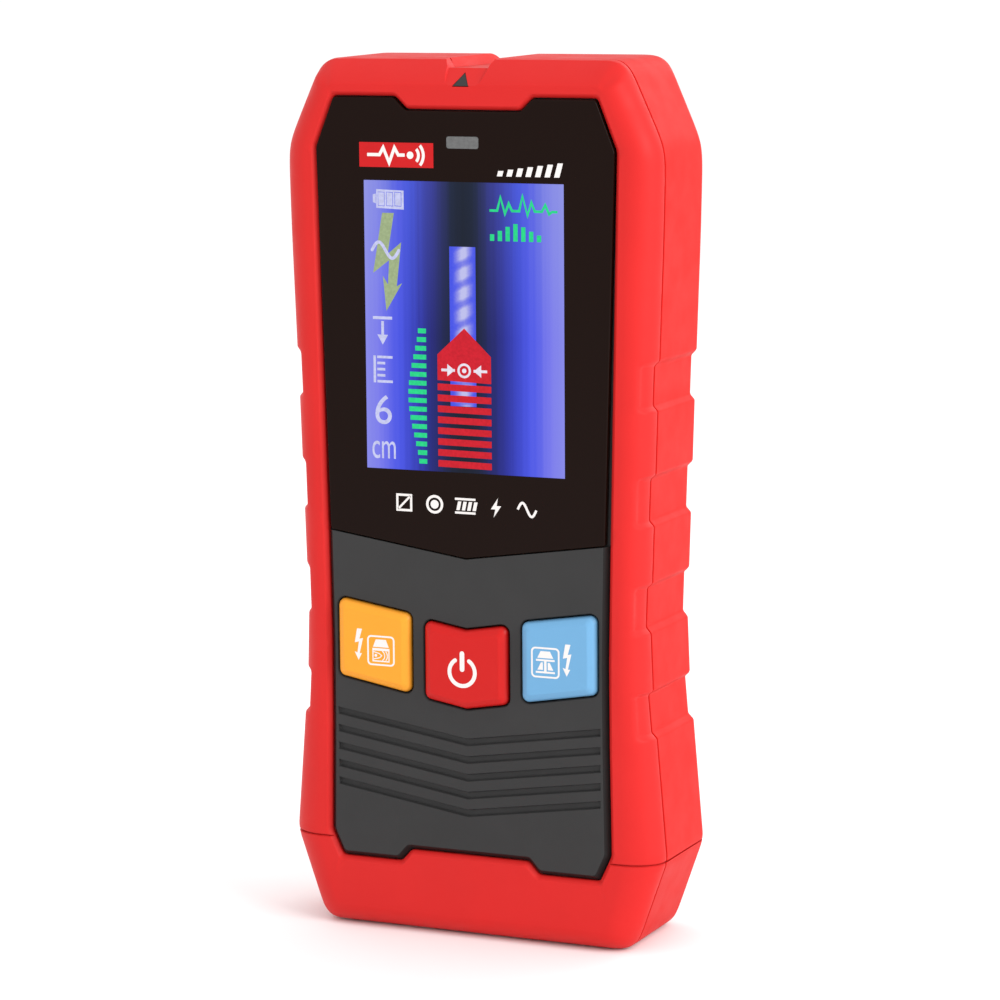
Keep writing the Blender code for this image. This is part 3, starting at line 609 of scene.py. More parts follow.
def inset(loop, distance):
    """A loop moved inwards by a distance; a negative one moves it outwards."""
    made = []
    for i, (x, z) in enumerate(loop):
        x0, z0 = loop[i - 1]
        x1, z1 = loop[(i + 1) % len(loop)]
        before = Vector((x - x0, z - z0)).normalized()
        after = Vector((x1 - x, z1 - z)).normalized()
        normal = Vector((before.y + after.y, -before.x - after.x)).normalized()
        reach = distance / max(0.3, normal.dot(Vector((after.y, -after.x))))
        made.append((x + normal.x * reach, z + normal.y * reach))
    return made


def soften(loops, radii, steps=5):
    """Rounds the corners of matching loops alike; the last loop's sides set the reach."""
    made = [[] for _ in loops]
    main = [Vector(p) for p in loops[-1]]
    count = len(main)
    for i in range(count):
        if not radii[i]:
            for loop, out in zip(loops, made):
                out.append(tuple(loop[i]))
            continue
        back = min(radii[i] / (main[i] - main[i - 1]).length, 0.46)
        ahead = min(radii[i] / (main[i] - main[(i + 1) % count]).length, 0.46)
        for loop, out in zip(loops, made):
            q = Vector(loop[i])
            a = q.lerp(Vector(loop[i - 1]), back)
            b = q.lerp(Vector(loop[(i + 1) % count]), ahead)
            for k in range(steps + 1):
                t = k / steps
                out.append(tuple(a * (1 - t) ** 2 + q * 2 * t * (1 - t) + b * t * t))
    return made


def round_corners(loop, radius, steps=5):
    radii = [0 if abs(x) < 1e-6 else radius for x, z in loop]
    return soften([loop], radii, steps)[0]


RIM = mirrored([(r[0], r[1]) for r in OUTLINE])
BODY = mirrored([(r[2], r[3]) for r in OUTLINE])
GRIPPED = mirrored([(r[2] - RECESS * r[4], r[3]) for r in OUTLINE])
FLAGS, RADII = ([r[i] for r in OUTLINE + OUTLINE[-2:0:-1]] for i in (4, 5))


def fine(loop):
    """A coarse housing outline with its corners rounded as the outermost one's are."""
    return soften([loop, GRIPPED], RADII)[0]


RIM_F, BODY_F, GRIPPED_F = fine(RIM), fine(BODY), fine(GRIPPED)
FLAG_F = fine([(flag, 0) for flag in FLAGS])
OPENING_LOOP = mirrored(OPENING)
WINDOW_LOOP = mirrored(WINDOW)


def opening_at(distance, radius=0.55):
    return round_corners(inset(OPENING_LOOP, distance), radius)


def window_at(distance, radius=0.5):
    return round_corners(inset(WINDOW_LOOP, distance), radius)


def blend(first, second, share):
    return [(a + (c - a) * share, b + (d - b) * share) for (a, b), (c, d) in zip(first, second)]


def at(loop, depth):
    return [(x, depth, z) for x, z in loop]


def stack(outline, *pairs):
    """Loops of an outline, each given as (how far in, how deep)."""
    return [at(outline(grow), depth) for grow, depth in pairs]


def ramp(value, zone):
    """A soft step from 0 to 1 over a zone, given as (where it starts, how long it is)."""
    share = min(1.0, max(0.0, (value - zone[0]) / zone[1]))
    return share * share * (3 - 2 * share)


def fine_round(steps=18):
    """Loops round the front edge, from the flat band back to the rounded seam edge.

    A finger recess fades out towards the front, and the top edge is a slope with a tight turn.
    """
    loops = []
    slope_end, most = TOP_SLOPE
    for i in range(steps + 1):
        angle = math.pi / 2 * i / steps
        depth = SEAM - SEAM * math.cos(angle)
        round_share = math.sin(angle)
        slope_share = most * (depth / slope_end) ** 0.82
        if depth > slope_end:
            turned = math.sin(math.pi / 2 * (depth - slope_end) / (SEAM - slope_end))
            slope_share = most + (1 - most) * turned
        if i == steps:
            depth = SEAM - 0.16
        reach = RECESS * ramp(math.degrees(angle), RECESS_FADE)
        loop = []
        for (rx, rz), (bx, bz), (flag, _) in zip(RIM_F, BODY_F, FLAG_F):
            crisp = ramp(bz, TOP_ZONE)
            share = round_share * (1 - crisp) + slope_share * crisp
            x = abs(rx) + (abs(bx) - abs(rx)) * share - reach * flag
            loop.append((math.copysign(x, bx) if bx else bx, rz + (bz - rz) * share))
        loops.append(at(loop, depth))
    last = [(x, z) for x, d, z in loops[-1]]
    loops.append(at(inset(last, 0.045), SEAM - 0.05))
    loops.append(at(inset(last, 0.16), SEAM))
    return loops


def coarse_round(front, seam_inset, steps=6):
    outer = inset(BODY, seam_inset) if seam_inset else BODY
    return [
        at(blend(RIM, outer, math.sin(math.pi / 2 * i / steps)),
           SEAM - (SEAM - front) * math.cos(math.pi / 2 * i / steps))
        for i in range(steps + 1)
    ]


def notch(drop=0.0):
    """The sighting notch: a ramp from the front face, then a floor to the back."""
    slope = (NOTCH_FLOOR - RAMP_FOOT) / RAMP_DEPTH
    top = HEIGHT + 2.0
    loops = []
    for depth, floor, low, knee, high in (
        (-1.0, RAMP_FOOT - slope, 2.1, 2.95, 7.9),
        (RAMP_DEPTH, NOTCH_FLOOR, 3.55, 3.75, 7.0),
        (SEAM, NOTCH_FLOOR, 3.45, 3.6, 5.9),
        (BACK + 2.0, NOTCH_FLOOR + TOP_LIFT, 3.45, 3.6, 5.9),
    ):
        z = floor - drop
        half = [(high + drop, top), (knee + drop, z + 0.25), (low + drop, z)]
        loops.append(at(half + [(-x, z) for x, z in reversed(half)], depth))
    return loft("notch", loops)


# --- housing ---

def core(clearance):
    """The hard part under the soft skin."""
    loops = coarse_round(SKIN - 0.1 + clearance, SKIN + clearance)
    loops[0] = at(inset(RIM, 0.3 + clearance), SKIN - 0.1 + clearance)
    loops.append(at(inset(BODY, SKIN + clearance), SEAM + 1.0))
    made = loft("core", loops if not clearance else loops[:-1])
    return cut(made, notch(1.1 + clearance))


def make_skin():
    """The soft red frame round the panel, with the line where the battery door meets it."""
    skin = loft("front_skin", fine_round(), "skin")
    arrow = [(-1.81, 145.8), (1.29, 145.8), (-0.243, 148.15)]
    cut(skin, notch(), prism("arrow_hole", arrow, -1.0, 4.3))
    profile = fine_round()
    near = min(range(len(BODY_F)), key=lambda i: abs(BODY_F[i][1] - 15.8) + (BODY_F[i][0] < 0) * 99)
    edge = [(loop[near][0], loop[near][1]) for loop in profile[:-2]]
    for side in (1, -1):
        steps = len(edge) - 1
        for reach, low, high in ((0.55, DOOR_TOP + 0.03, DOOR_TOP + DOOR_GAP - 0.03),
                                 (0.14, DOOR_TOP - 0.10, DOOR_TOP + DOOR_GAP + 0.10)):
            inner = [(25.0, reach)] + [
                (x - reach * math.sin(math.pi / 2 * i / steps),
                 d + reach * math.cos(math.pi / 2 * i / steps))
                for i, (x, d) in enumerate(edge)
            ]
            inner[-1] = (inner[-1][0], SEAM + 1.0)
            shape = [(25.0, -1.0), (40.0, -1.0), (40.0, SEAM + 1.0)] + inner[::-1]
            cut(skin, loft("groove", [[(side * x, d, z) for x, d in shape] for z in (low, high)]))
    opening = loft("opening", stack(
        opening_at, (-OPENING_BEVEL - 1.0, -1.0), (-OPENING_BEVEL, 0.0), (-0.70, 0.04),
        (-0.06, 0.68), (0.0, 0.84), (0.0, SEAM),
    ))
    cut(skin, core(0.0), opening)
    return place(smooth(skin), "housing", "skin_red", "front_overmould")


def make_front_shell():
    """The grey panel with its raised face, the pointer in the notch, holes, grooves and bosses."""
    shell = core(BOND)
    dress(shell, "shell", "panel_shell")
    face = loft("face", stack(
        opening_at, (1.10, 0.0), (1.02, 0.015), (0.95, 0.06), (0.27, 0.85), (BOND, 1.05),
        (BOND, SKIN + 1.2),
    ))
    lip = loft("lip", [at(inset(BODY, REAR_WALL + 0.25), d) for d in (SEAM - 1.0, SEAM + 1.0)])
    cut(lip, notch(2.4))
    arrow = [(-1.65, 145.93), (1.15, 145.93), (-0.25, 148.0)]
    slope = RAMP_DEPTH / (NOTCH_FLOOR - RAMP_FOOT)
    pointer = loft("pointer", [
        [(x, max((z - RAMP_FOOT) * slope, 0.02), z) for x, z in arrow],
        [(x, 4.2, z - 0.6) for x, z in arrow],
    ])
    join(shell, face, lip)
    inside = loft("inside", [
        at(inset(RIM, 0.6), FRONT_WALL + 0.2),
        at(inset(BODY, SHELL_INSET), FRONT_WALL + 1.8),
        at(inset(BODY, SHELL_INSET), SEAM + 2.0),
    ])
    above = mirrored([
        (0.0, 160.0), (40.0, 160.0), (40.0, 69.95 - 0.15 + 14.5 * CHEVRON), (0.0, 66.15),
    ])
    cut(shell, prism("pocket", above, -1.0, POCKET), inside)
    join(shell, pointer)
    cut(shell,
        box("view", (-19.1, 19.1), (-1, 6), (DISPLAY_CENTRE - 25.3, DISPLAY_CENTRE + 25.3)),
        box("pipe_hole", (-3.3, 3.3), (-1, 6), (135.3, 137.9)))
    for polygon in key_polygons():
        hole = corner_rounded(inset(polygon, -KEY_GAP), 1.45)
        lead = corner_rounded(inset(polygon, -KEY_GAP - 0.2), 1.6)
        wide = corner_rounded(inset(polygon, -KEY_GAP - 0.24), 1.65)
        cut(shell, loft("key_hole", [
            at(wide, -0.9), at(lead, -0.05), at(hole, 0.21), at(hole, 6.0),
        ]))
    for i in range(GRIP_GROOVES):
        top = GRIP_TOP - GRIP_STEP * i
        grooves = []
        for grow, depth in ((0.6, -0.5), (0.12, -0.02), (0.06, 0.03), (0.0, 0.12), (-0.1, 0.62),
                            (-0.2, 0.72)):
            end, up, down = GRIP_HALF + grow, top + grow, top - GRIP_HEIGHT - grow
            grooves.append([(x, depth, z) for x, z in (
                (0.0, up), (end, up + GRIP_LIFT), (end, down + GRIP_LIFT),
                (0.0, down), (-end, down + GRIP_LIFT), (-end, up + GRIP_LIFT),
            )])
        cut(shell, loft("groove", grooves))
    for places, start, end, outer, low, high, inner in (
        (CASE_SCREWS, FRONT_WALL - 0.37, 9.3, 3.0, 4.0, 10.0, 1.35),
        (BOARD_SCREWS, FRONT_WALL - 0.4, 7.1, 2.3, 3.6, 8.0, 1.05),
    ):
        for x, z in places:
            join(shell, round_rod("boss", x, z, [(start, outer), (end, outer)]))
            cut(shell, round_rod("pilot", x, z, [(low, inner), (high, inner)], sides=16))
    # paints shade: the bevel faces round the opening get the darker grey
    edge_look(shell)
    return place(smooth(shell), "housing", "shell_grey", "front_shell")


def edge_look(shell):
    """The bevel round the panel: a glossier finish, with a darker colour painted on as shade."""
    shell.data.materials.append(LOOKS["shell_edge_shade"].material)
    pairs = list(zip(OPENING_LOOP, OPENING_LOOP[1:] + OPENING_LOOP[:1]))
    for face in shell.data.polygons:
        x, d, z = face.center.x / MM, face.center.y / MM + CENTRE_DEPTH, face.center.z / MM
        if not (0.03 < d < 1.3 and abs(face.normal.y) < 0.95):
            continue
        gap = min(distance_to(Vector((x, z)), Vector(a), Vector(b)) for a, b in pairs)
        if gap < 1.12:
            face.material_index = 1


def distance_to(point, a, b):
    along = b - a
    share = min(1.0, max(0.0, (point - a).dot(along) / along.length_squared))
    return (point - a - along * share).length


def lifted(loop):
    """The far end of the top stands a little higher than the near one."""
    return [(x, z + TOP_LIFT * min(1.0, max(0.0, (z - 146.0) / 3.0))) for x, z in loop]


def inset_unevenly(loop, distance):
    """An inset that is half as deep round the top corners, where the back edge is tighter."""
    made = []
    for (x, z), (ix, iz) in zip(loop, inset(loop, distance)):
        share = 1.0 - 0.5 * ramp(z, TOP_CORNERS)
        made.append((x + (ix - x) * share, z + (iz - z) * share))
    return made


def rear_solid():
    """The hollow rear half: a lip inside the seam groove, then straight to the rounded back."""
    lip = SEAM + SEAM_GAP
    loops = stack(
        lambda grow: fine(inset(GRIPPED, grow)), (0.55, SEAM + 0.06), (0.5, lip - 0.02),
        (0.16, lip), (0.045, lip + 0.05),
    )
    loops += [at(GRIPPED_F, lip + 0.16), at(fine(lifted(GRIPPED)), BACK - BACK_ROUND)]
    steps = 10
    for i in range(1, steps + 1):
        angle = math.pi / 2 * i / steps
        loops.append(at(
            fine(lifted(inset_unevenly(GRIPPED, BACK_ROUND * (1 - math.cos(angle))))),
            BACK - BACK_ROUND + BACK_ROUND * math.sin(angle),
        ))
    body = loft("rear", loops)
    inner = loft("inner", stack(
        lambda grow: inset(BODY, grow), (REAR_WALL, SEAM - 1.0),
        (REAR_WALL, BACK - BACK_WALL - 0.8), (REAR_WALL + 0.8, BACK - BACK_WALL),
    ))
    cut(inner, notch(2.0))
    return cut(body, notch(), inner)


def door_region(grow):
    """The room that the battery door takes, grown by its gap."""
    low = box("low", (-60, 60), (0, 40), (-5, DOOR_TOP + grow))
    tongue = box("tongue", (-TONGUE_HALF - grow, TONGUE_HALF + grow),
                 (BACK - BACK_WALL - 2.5, 40), (DOOR_TOP - 5, TONGUE_TOP + grow))
    return join(low, tongue)


def copy_of(obj):
    made = obj.copy()
    made.data = obj.data.copy()
    bpy.context.scene.collection.objects.link(made)
    return made


def make_rear_case(case):
    """Cuts the battery bay, screw columns and seats into the rear half."""
    dress(case, "case", "back_case")
    cut(case, door_region(DOOR_GAP))
    tray = box("tray", (-26.0, 26.0), (4.4, 22.2), (4.3, 34.2))
    shelf = box("shelf", (-31.2, 31.2), (6.4, 22.2), (32.6, 34.2))
    ribs = [box("rib", x, (6.4, 19.4), (17.0, 18.4)) for x in ((-32.4, -25.2), (25.2, 32.4))]
    join(tray, shelf, *ribs)
    cut(tray, box("bay", (-25.3, 25.3), (5.3, 30), (5.0, 32.6)),
        box("lead_slot", (19.0, 24.6), (9.6, 14.4), (31.0, 36.0)))
    join(case, tray)
    web = box("web", (-1.6, 1.6), (12.2, 22.0), (33.4, 38.0))
    boss = round_rod("boss", *DOOR_SCREW, [(12.0, 3.2), (22.1, 3.2)], sides=32)
    join(case, web, boss)
    brace = box("brace", (-29.0, 29.0), (21.2, 23.6), (42.6, 44.2))
    tie = box("tie", (-1.6, 1.6), (14.0, 22.3), (38.0, 43.6))
    join(case, brace, tie)
    cut(case, round_rod("bore", *DOOR_SCREW, [(13.0, 1.4), (16.9, 1.4)], sides=16),
        round_rod("bore", *DOOR_SCREW, [(16.8, 2.0), (30.0, 2.0)], sides=32))
    for x, z in CASE_SCREWS:
        join(case, round_rod("boss", x, z, [(9.7, 3.6), (BACK - 0.9, 3.6)], sides=22))
        cut(case, round_rod("bore", x, z, [(8.0, 1.5), (30.0, 1.5)], sides=16),
            round_rod("counterbore", x, z, [(21.2, 2.8), (BACK - 0.25, 2.8), (BACK, 3.05),
                                            (30.0, 9.05)], sides=48))
    for x, z in SENSOR_PINS:
        join(case, round_rod("pin", x, z, [(19.6, 0.95), (21.0, 1.0), (24.0, 1.0)], sides=12))
        join(case, round_rod("seat", x, z, [(21.75, 2.2), (24.0, 2.2)], sides=16))
    for x, z in PADS:
        seat = soft_rect(x - 5.3, x + 5.3, z - 2.3, z + 2.3, 1.3, 6)
        cut(case, prism("pad_seat", seat, BACK - 0.5, 30))
    seat = soft_rect(-17.3, 17.3, 73.7, 106.3, 2.3, 6)
    cut(case, prism("label_seat", seat, BACK - 0.45, 30))
    return place(smooth(case), "housing", "case_red", "rear_case")


def make_door(solid):
    """The battery door: the rear half's lower end and a tongue, with a grip of three ribs."""
    door = boolean(solid, door_region(0.0), "INTERSECT")
    dress(door, "door", "bay_door")
    cut(door, round_rod("hole", *DOOR_SCREW, [(15.0, 1.4), (30.0, 1.4)], sides=16),
        round_rod("seat", *DOOR_SCREW, [(BACK - 1.1, 2.7), (BACK - 0.2, 2.7), (BACK, 2.9),
                                      (30.0, 8.9)], sides=48))
    for i in range(3):
        z = 20.5 + 2.4 * i
        rib = []
        for depth, half in ((BACK - 0.5, 0.52), (BACK + 0.12, 0.5), (BACK + 0.3, 0.4),
                            (BACK + 0.38, 0.22)):
            ends = [math.pi / 2 - math.pi * k / 12 for k in range(13)]
            loop = [(8.5 + half * math.cos(a), z + half * math.sin(a)) for a in ends]
            loop += [(-8.5 - half * math.cos(a), z - half * math.sin(a)) for a in ends]
            rib.append(at(loop, depth))
        join(door, loft("rib", rib))
    return place(smooth(door), "cover", "door_red", "battery_door")


# --- keys ---

def corner_rounded(polygon, radius, steps=6):
    """A polygon whose corners are true arcs; almost straight ones stay."""
    made = []
    for i, corner in enumerate(polygon):
        a = Vector(polygon[i - 1]) - Vector(corner)
        b = Vector(polygon[(i + 1) % len(polygon)]) - Vector(corner)
        turn = a.angle(b)
        if turn > math.radians(150):
            made.append(tuple(corner))
            continue
        reach = radius / math.tan(turn / 2)
        centre = Vector(corner) + (a.normalized() + b.normalized()).normalized() * (
            radius / math.sin(turn / 2))
        start = Vector(corner) + a.normalized() * reach - centre
        end = Vector(corner) + b.normalized() * reach - centre
        for k in range(steps + 1):
            aim = start.slerp(end, k / steps).normalized() * radius
            made.append(tuple(centre + aim))
    return made


def key_polygons():
    return [[(-x, z) for x, z in reversed(SIDE_KEY)], POWER_KEY, SIDE_KEY]


def make_key(name, polygon, look, body, slot, node):
    loops = []
    for inward, down in KEY_PROFILE:
        loops.append(at(corner_rounded(inset(polygon, inward), max(1.2 - 0.5 * inward, 0.3)),
                        down - KEY_RISE))
    base = corner_rounded(polygon, 1.2)
    loops.append(at(base, 2.9))
    key = loft(name, loops, look)
    centre_x = sum(x for x, z in polygon) / len(polygon)
    centre_z = sum(z for x, z in polygon) / len(polygon)
    flange = prism("flange", inset(base, -0.7), 2.75, 3.3)
    stem = round_rod("stem", centre_x, centre_z, [(3.0, 1.6), (3.5, 1.6)], sides=16)
    join(key, flange, stem)
    return place(smooth(key, 35), body, slot, node)


# --- flat marks ---

def marks(name, shapes, front, look, thick=0.06):
    """Thin raised marks; each shape is an outline of (x, z), or [outline, hole, ...]."""
    bm = bmesh.new()
    for shape in shapes:
        rings = [shape] if isinstance(shape[0][0], (int, float)) else shape
        flat = [[Vector((x, z, 0.0)) for x, z in ring] for ring in rings]
        triangles = tessellate_polygon(flat)
        points = [p for ring in rings for p in ring]
        near = [bm.verts.new(world(x, front, z)) for x, z in points]
        far = [bm.verts.new(world(x, front + thick, z)) for x, z in points]
        for a, b, c in triangles:
            bm.faces.new((near[a], near[b], near[c]))
            bm.faces.new((far[c], far[b], far[a]))
        start = 0
        for ring in rings:
            for i in range(len(ring)):
                a, b = start + i, start + (i + 1) % len(ring)
                bm.faces.new((near[a], near[b], far[b], far[a]))
            start += len(ring)
    bmesh.ops.recalc_face_normals(bm, faces=bm.faces)
    return to_object(name, bm, look)


def rect(x0, x1, z0, z1):
    return [(x0, z0), (x1, z0), (x1, z1), (x0, z1)]


def arc(x, z, radius, start, end, steps=24):
    return [
        (x + radius * math.cos(math.radians(start + (end - start) * i / steps)),
         z + radius * math.sin(math.radians(start + (end - start) * i / steps)))
        for i in range(steps + 1)
    ]


def ring(x, z, outer, inner, steps=40):
    return [arc(x, z, outer, 0, 360 - 360 / steps, steps - 1),
            arc(x, z, inner, 0, 360 - 360 / steps, steps - 1)]


def stroke(points, width, closed=False):
    """The outline of a line of that width through the points, with mitred turns."""
    pts = [Vector(p) for p in points]
    count = len(pts)
    left, right = [], []
    for i, p in enumerate(pts):
        before = pts[i - 1] if (i or closed) else None
        after = pts[(i + 1) % count] if (i < count - 1 or closed) else None
        a = (p - before).normalized() if before is not None else (after - p).normalized()
        b = (after - p).normalized() if after is not None else a
        n = Vector((-(a.y + b.y), a.x + b.x)).normalized()
        reach = width / 2 / max(0.4, n.dot(Vector((-a.y, a.x))))
        left.append(tuple(p + n * reach))
        right.append(tuple(p - n * reach))
    return [left, right] if closed else left + right[::-1]


def capped(points, width):
    """A stroke with round ends."""
    pts = [Vector(p) for p in points]
    outline = stroke(points, width)
    half = len(outline) // 2
    out = []
    for tip, before, begin in ((pts[-1], pts[-2], outline[half - 1]),
                               (pts[0], pts[1], outline[-1])):
        away = (tip - before).normalized()
        start = Vector(begin) - tip
        cap = []
        for k in range(1, 8):
            t = math.pi * k / 8
            cap.append(tuple(tip + start * math.cos(t) + away * (width / 2) * math.sin(t)))
        out.append(cap)
    return outline[:half] + out[0] + outline[half:] + out[1]


def soft_rect(x0, x1, z0, z1, radius, steps=5):
    return corner_rounded([(x0, z1), (x1, z1), (x1, z0), (x0, z0)], radius, steps)


def mapped(shape, change):
    """A shape, or each ring of one, with every point changed."""
    if isinstance(shape[0][0], (int, float)):
        return [change(x, z) for x, z in shape]
    return [mapped(part, change) for part in shape]


def moved(shapes, dx, dz):
    return mapped(shapes, lambda x, z: (x + dx, z + dz))


def on_window(name, shapes, depth=-0.03):
    return place(marks(name, shapes, depth, "ink"), "housing", "window_black")


def letters(name, text, x, z, height, width, front, look, thick=0.05):
    """Digits or a unit as a thin solid, fitted to a width and height from its lower left."""
    curve = bpy.data.curves.new(name, "FONT")
    curve.body = text
    curve.size = 0.01
    curve.extrude = thick * MM / 2
    curve.resolution_u = 6
    made = link_object(name, curve)
    bpy.context.view_layer.update()
    graph = bpy.context.evaluated_depsgraph_get()
    mesh = bpy.data.meshes.new_from_object(made.evaluated_get(graph))
    bpy.data.objects.remove(made)
    xs = [v.co.x for v in mesh.vertices]
    ys = [v.co.y for v in mesh.vertices]
    left, low = min(xs), min(ys)
    sx = width * MM / (max(xs) - left)
    sz = height * MM / (max(ys) - low)
    for v in mesh.vertices:
        px, py, pz = v.co
        v.co = world(x, front + thick / 2, z) + Vector(((px - left) * sx, -pz, (py - low) * sz))
    mesh.materials.clear()
    return link_object(name, mesh, look)


# --- window and display ---

def make_window():
    """The black window with the display, badge, indicator and bars that show in it."""
    lens = loft("window_lens", stack(
        window_at, (0.34, 0.0), (0.20, 0.035), (0.09, 0.11), (0.02, 0.24), (0.02, 1.2),
    ), "lens")
    half, low, high = PICTURE
    cut(lens, box("picture_hole", (-half, half), (-1, 0.7), (low, high)),
        prism("badge_hole", rect(-19.1, -5.3, 132.2, 136.4), -1, 0.12),
        prism("indicator_hole", soft_rect(-2.98, 2.98, 135.5, 137.6, 0.45), -1, 0.5))
    place(smooth(lens), "housing", "window_black", "display_window")

    field = box("lit_picture", (-half + 0.01, half - 0.01), (0.0, 0.65), (low + 0.01, high - 0.01),
                "lit_field")
    place(field, "housing", "lcd_glass")
    pipe = loft("indicator_window", [
        at(soft_rect(-2.85, 2.85, 135.63, 137.47, 0.36), 0.0),
        at(soft_rect(-2.95, 2.95, 135.53, 137.57, 0.42), 0.06),
        at(soft_rect(-2.95, 2.95, 135.53, 137.57, 0.42), 0.45),
    ], "pipe")
    place(smooth(pipe), "housing", "pipe_grey")
    badge = prism("badge_plate", rect(-19.08, -5.32, 132.22, 136.38), -0.02, 0.1, "badge")
    place(badge, "housing", "window_black")
    symbols = [stroke([(-17.6, 134.3), (-15.3, 134.3), (-14.6, 135.5), (-13.5, 133.0),
                       (-12.5, 135.5), (-11.8, 134.3), (-10.6, 134.3)], 0.55)]
    symbols.append(arc(-9.6, 134.3, 0.62, 0, 345, 23))
    for radius in (1.55, 2.45):
        outer = arc(-9.6, 134.3, radius + 0.26, -42, 42, 14)
        inner = arc(-9.6, 134.3, radius - 0.26, 42, -42, 14)
        symbols.append(outer + inner)
    on_window("badge_symbol", symbols, -0.05)
    slants = []
    for i in range(7):
        tall = 0.9 + 0.24 * i
        lean = 0.28 * tall
        slant = [(0.0, 0.0), (0.95, 0.0), (0.95 + lean, tall), (lean, tall)]
        slants.append(moved(slant, 6.3 + 1.72 * i, 131.1))
    on_window("strength_bars", slants)
    make_pictograms()
    make_picture()


def make_pictograms():
    """A row of small symbols: stud, pipe, reinforcing bar, live wire and wave."""
    wave = [(-1.7 + 3.4 * i / 24, 1.15 * math.sin(2 * math.pi * i / 24)) for i in range(25)]
    symbols = [
        [[rect(-1.5, 1.5, -1.5, 1.5), rect(-1.1, 1.1, -1.1, 1.1)],
         stroke([(-1.15, -1.15), (1.15, 1.15)], 0.36)],
        [ring(0, 0, 1.6, 1.15), arc(0, 0, 0.75, 0, 351, 39)],
        [*[[(x, -0.75), (x + 0.62, -0.75), (x + 0.95, 0.75), (x + 0.33, 0.75)]
           for x in (-1.65, -0.65, 0.35, 1.35)],
         rect(-1.9, 1.9, 0.98, 1.36), rect(-1.9, 1.9, -1.36, -0.98)],
        [[(0.35, 1.65), (-0.95, -0.25), (-0.12, -0.25), (-0.45, -1.65), (0.95, 0.35),
          (0.12, 0.35)]],
        [stroke(wave, 0.42)],
    ]
    shapes = []
    for i, symbol in enumerate(symbols):
        shapes += moved(symbol, 5.7 * (i - 2), 75.35)
    on_window("window_symbols", shapes)


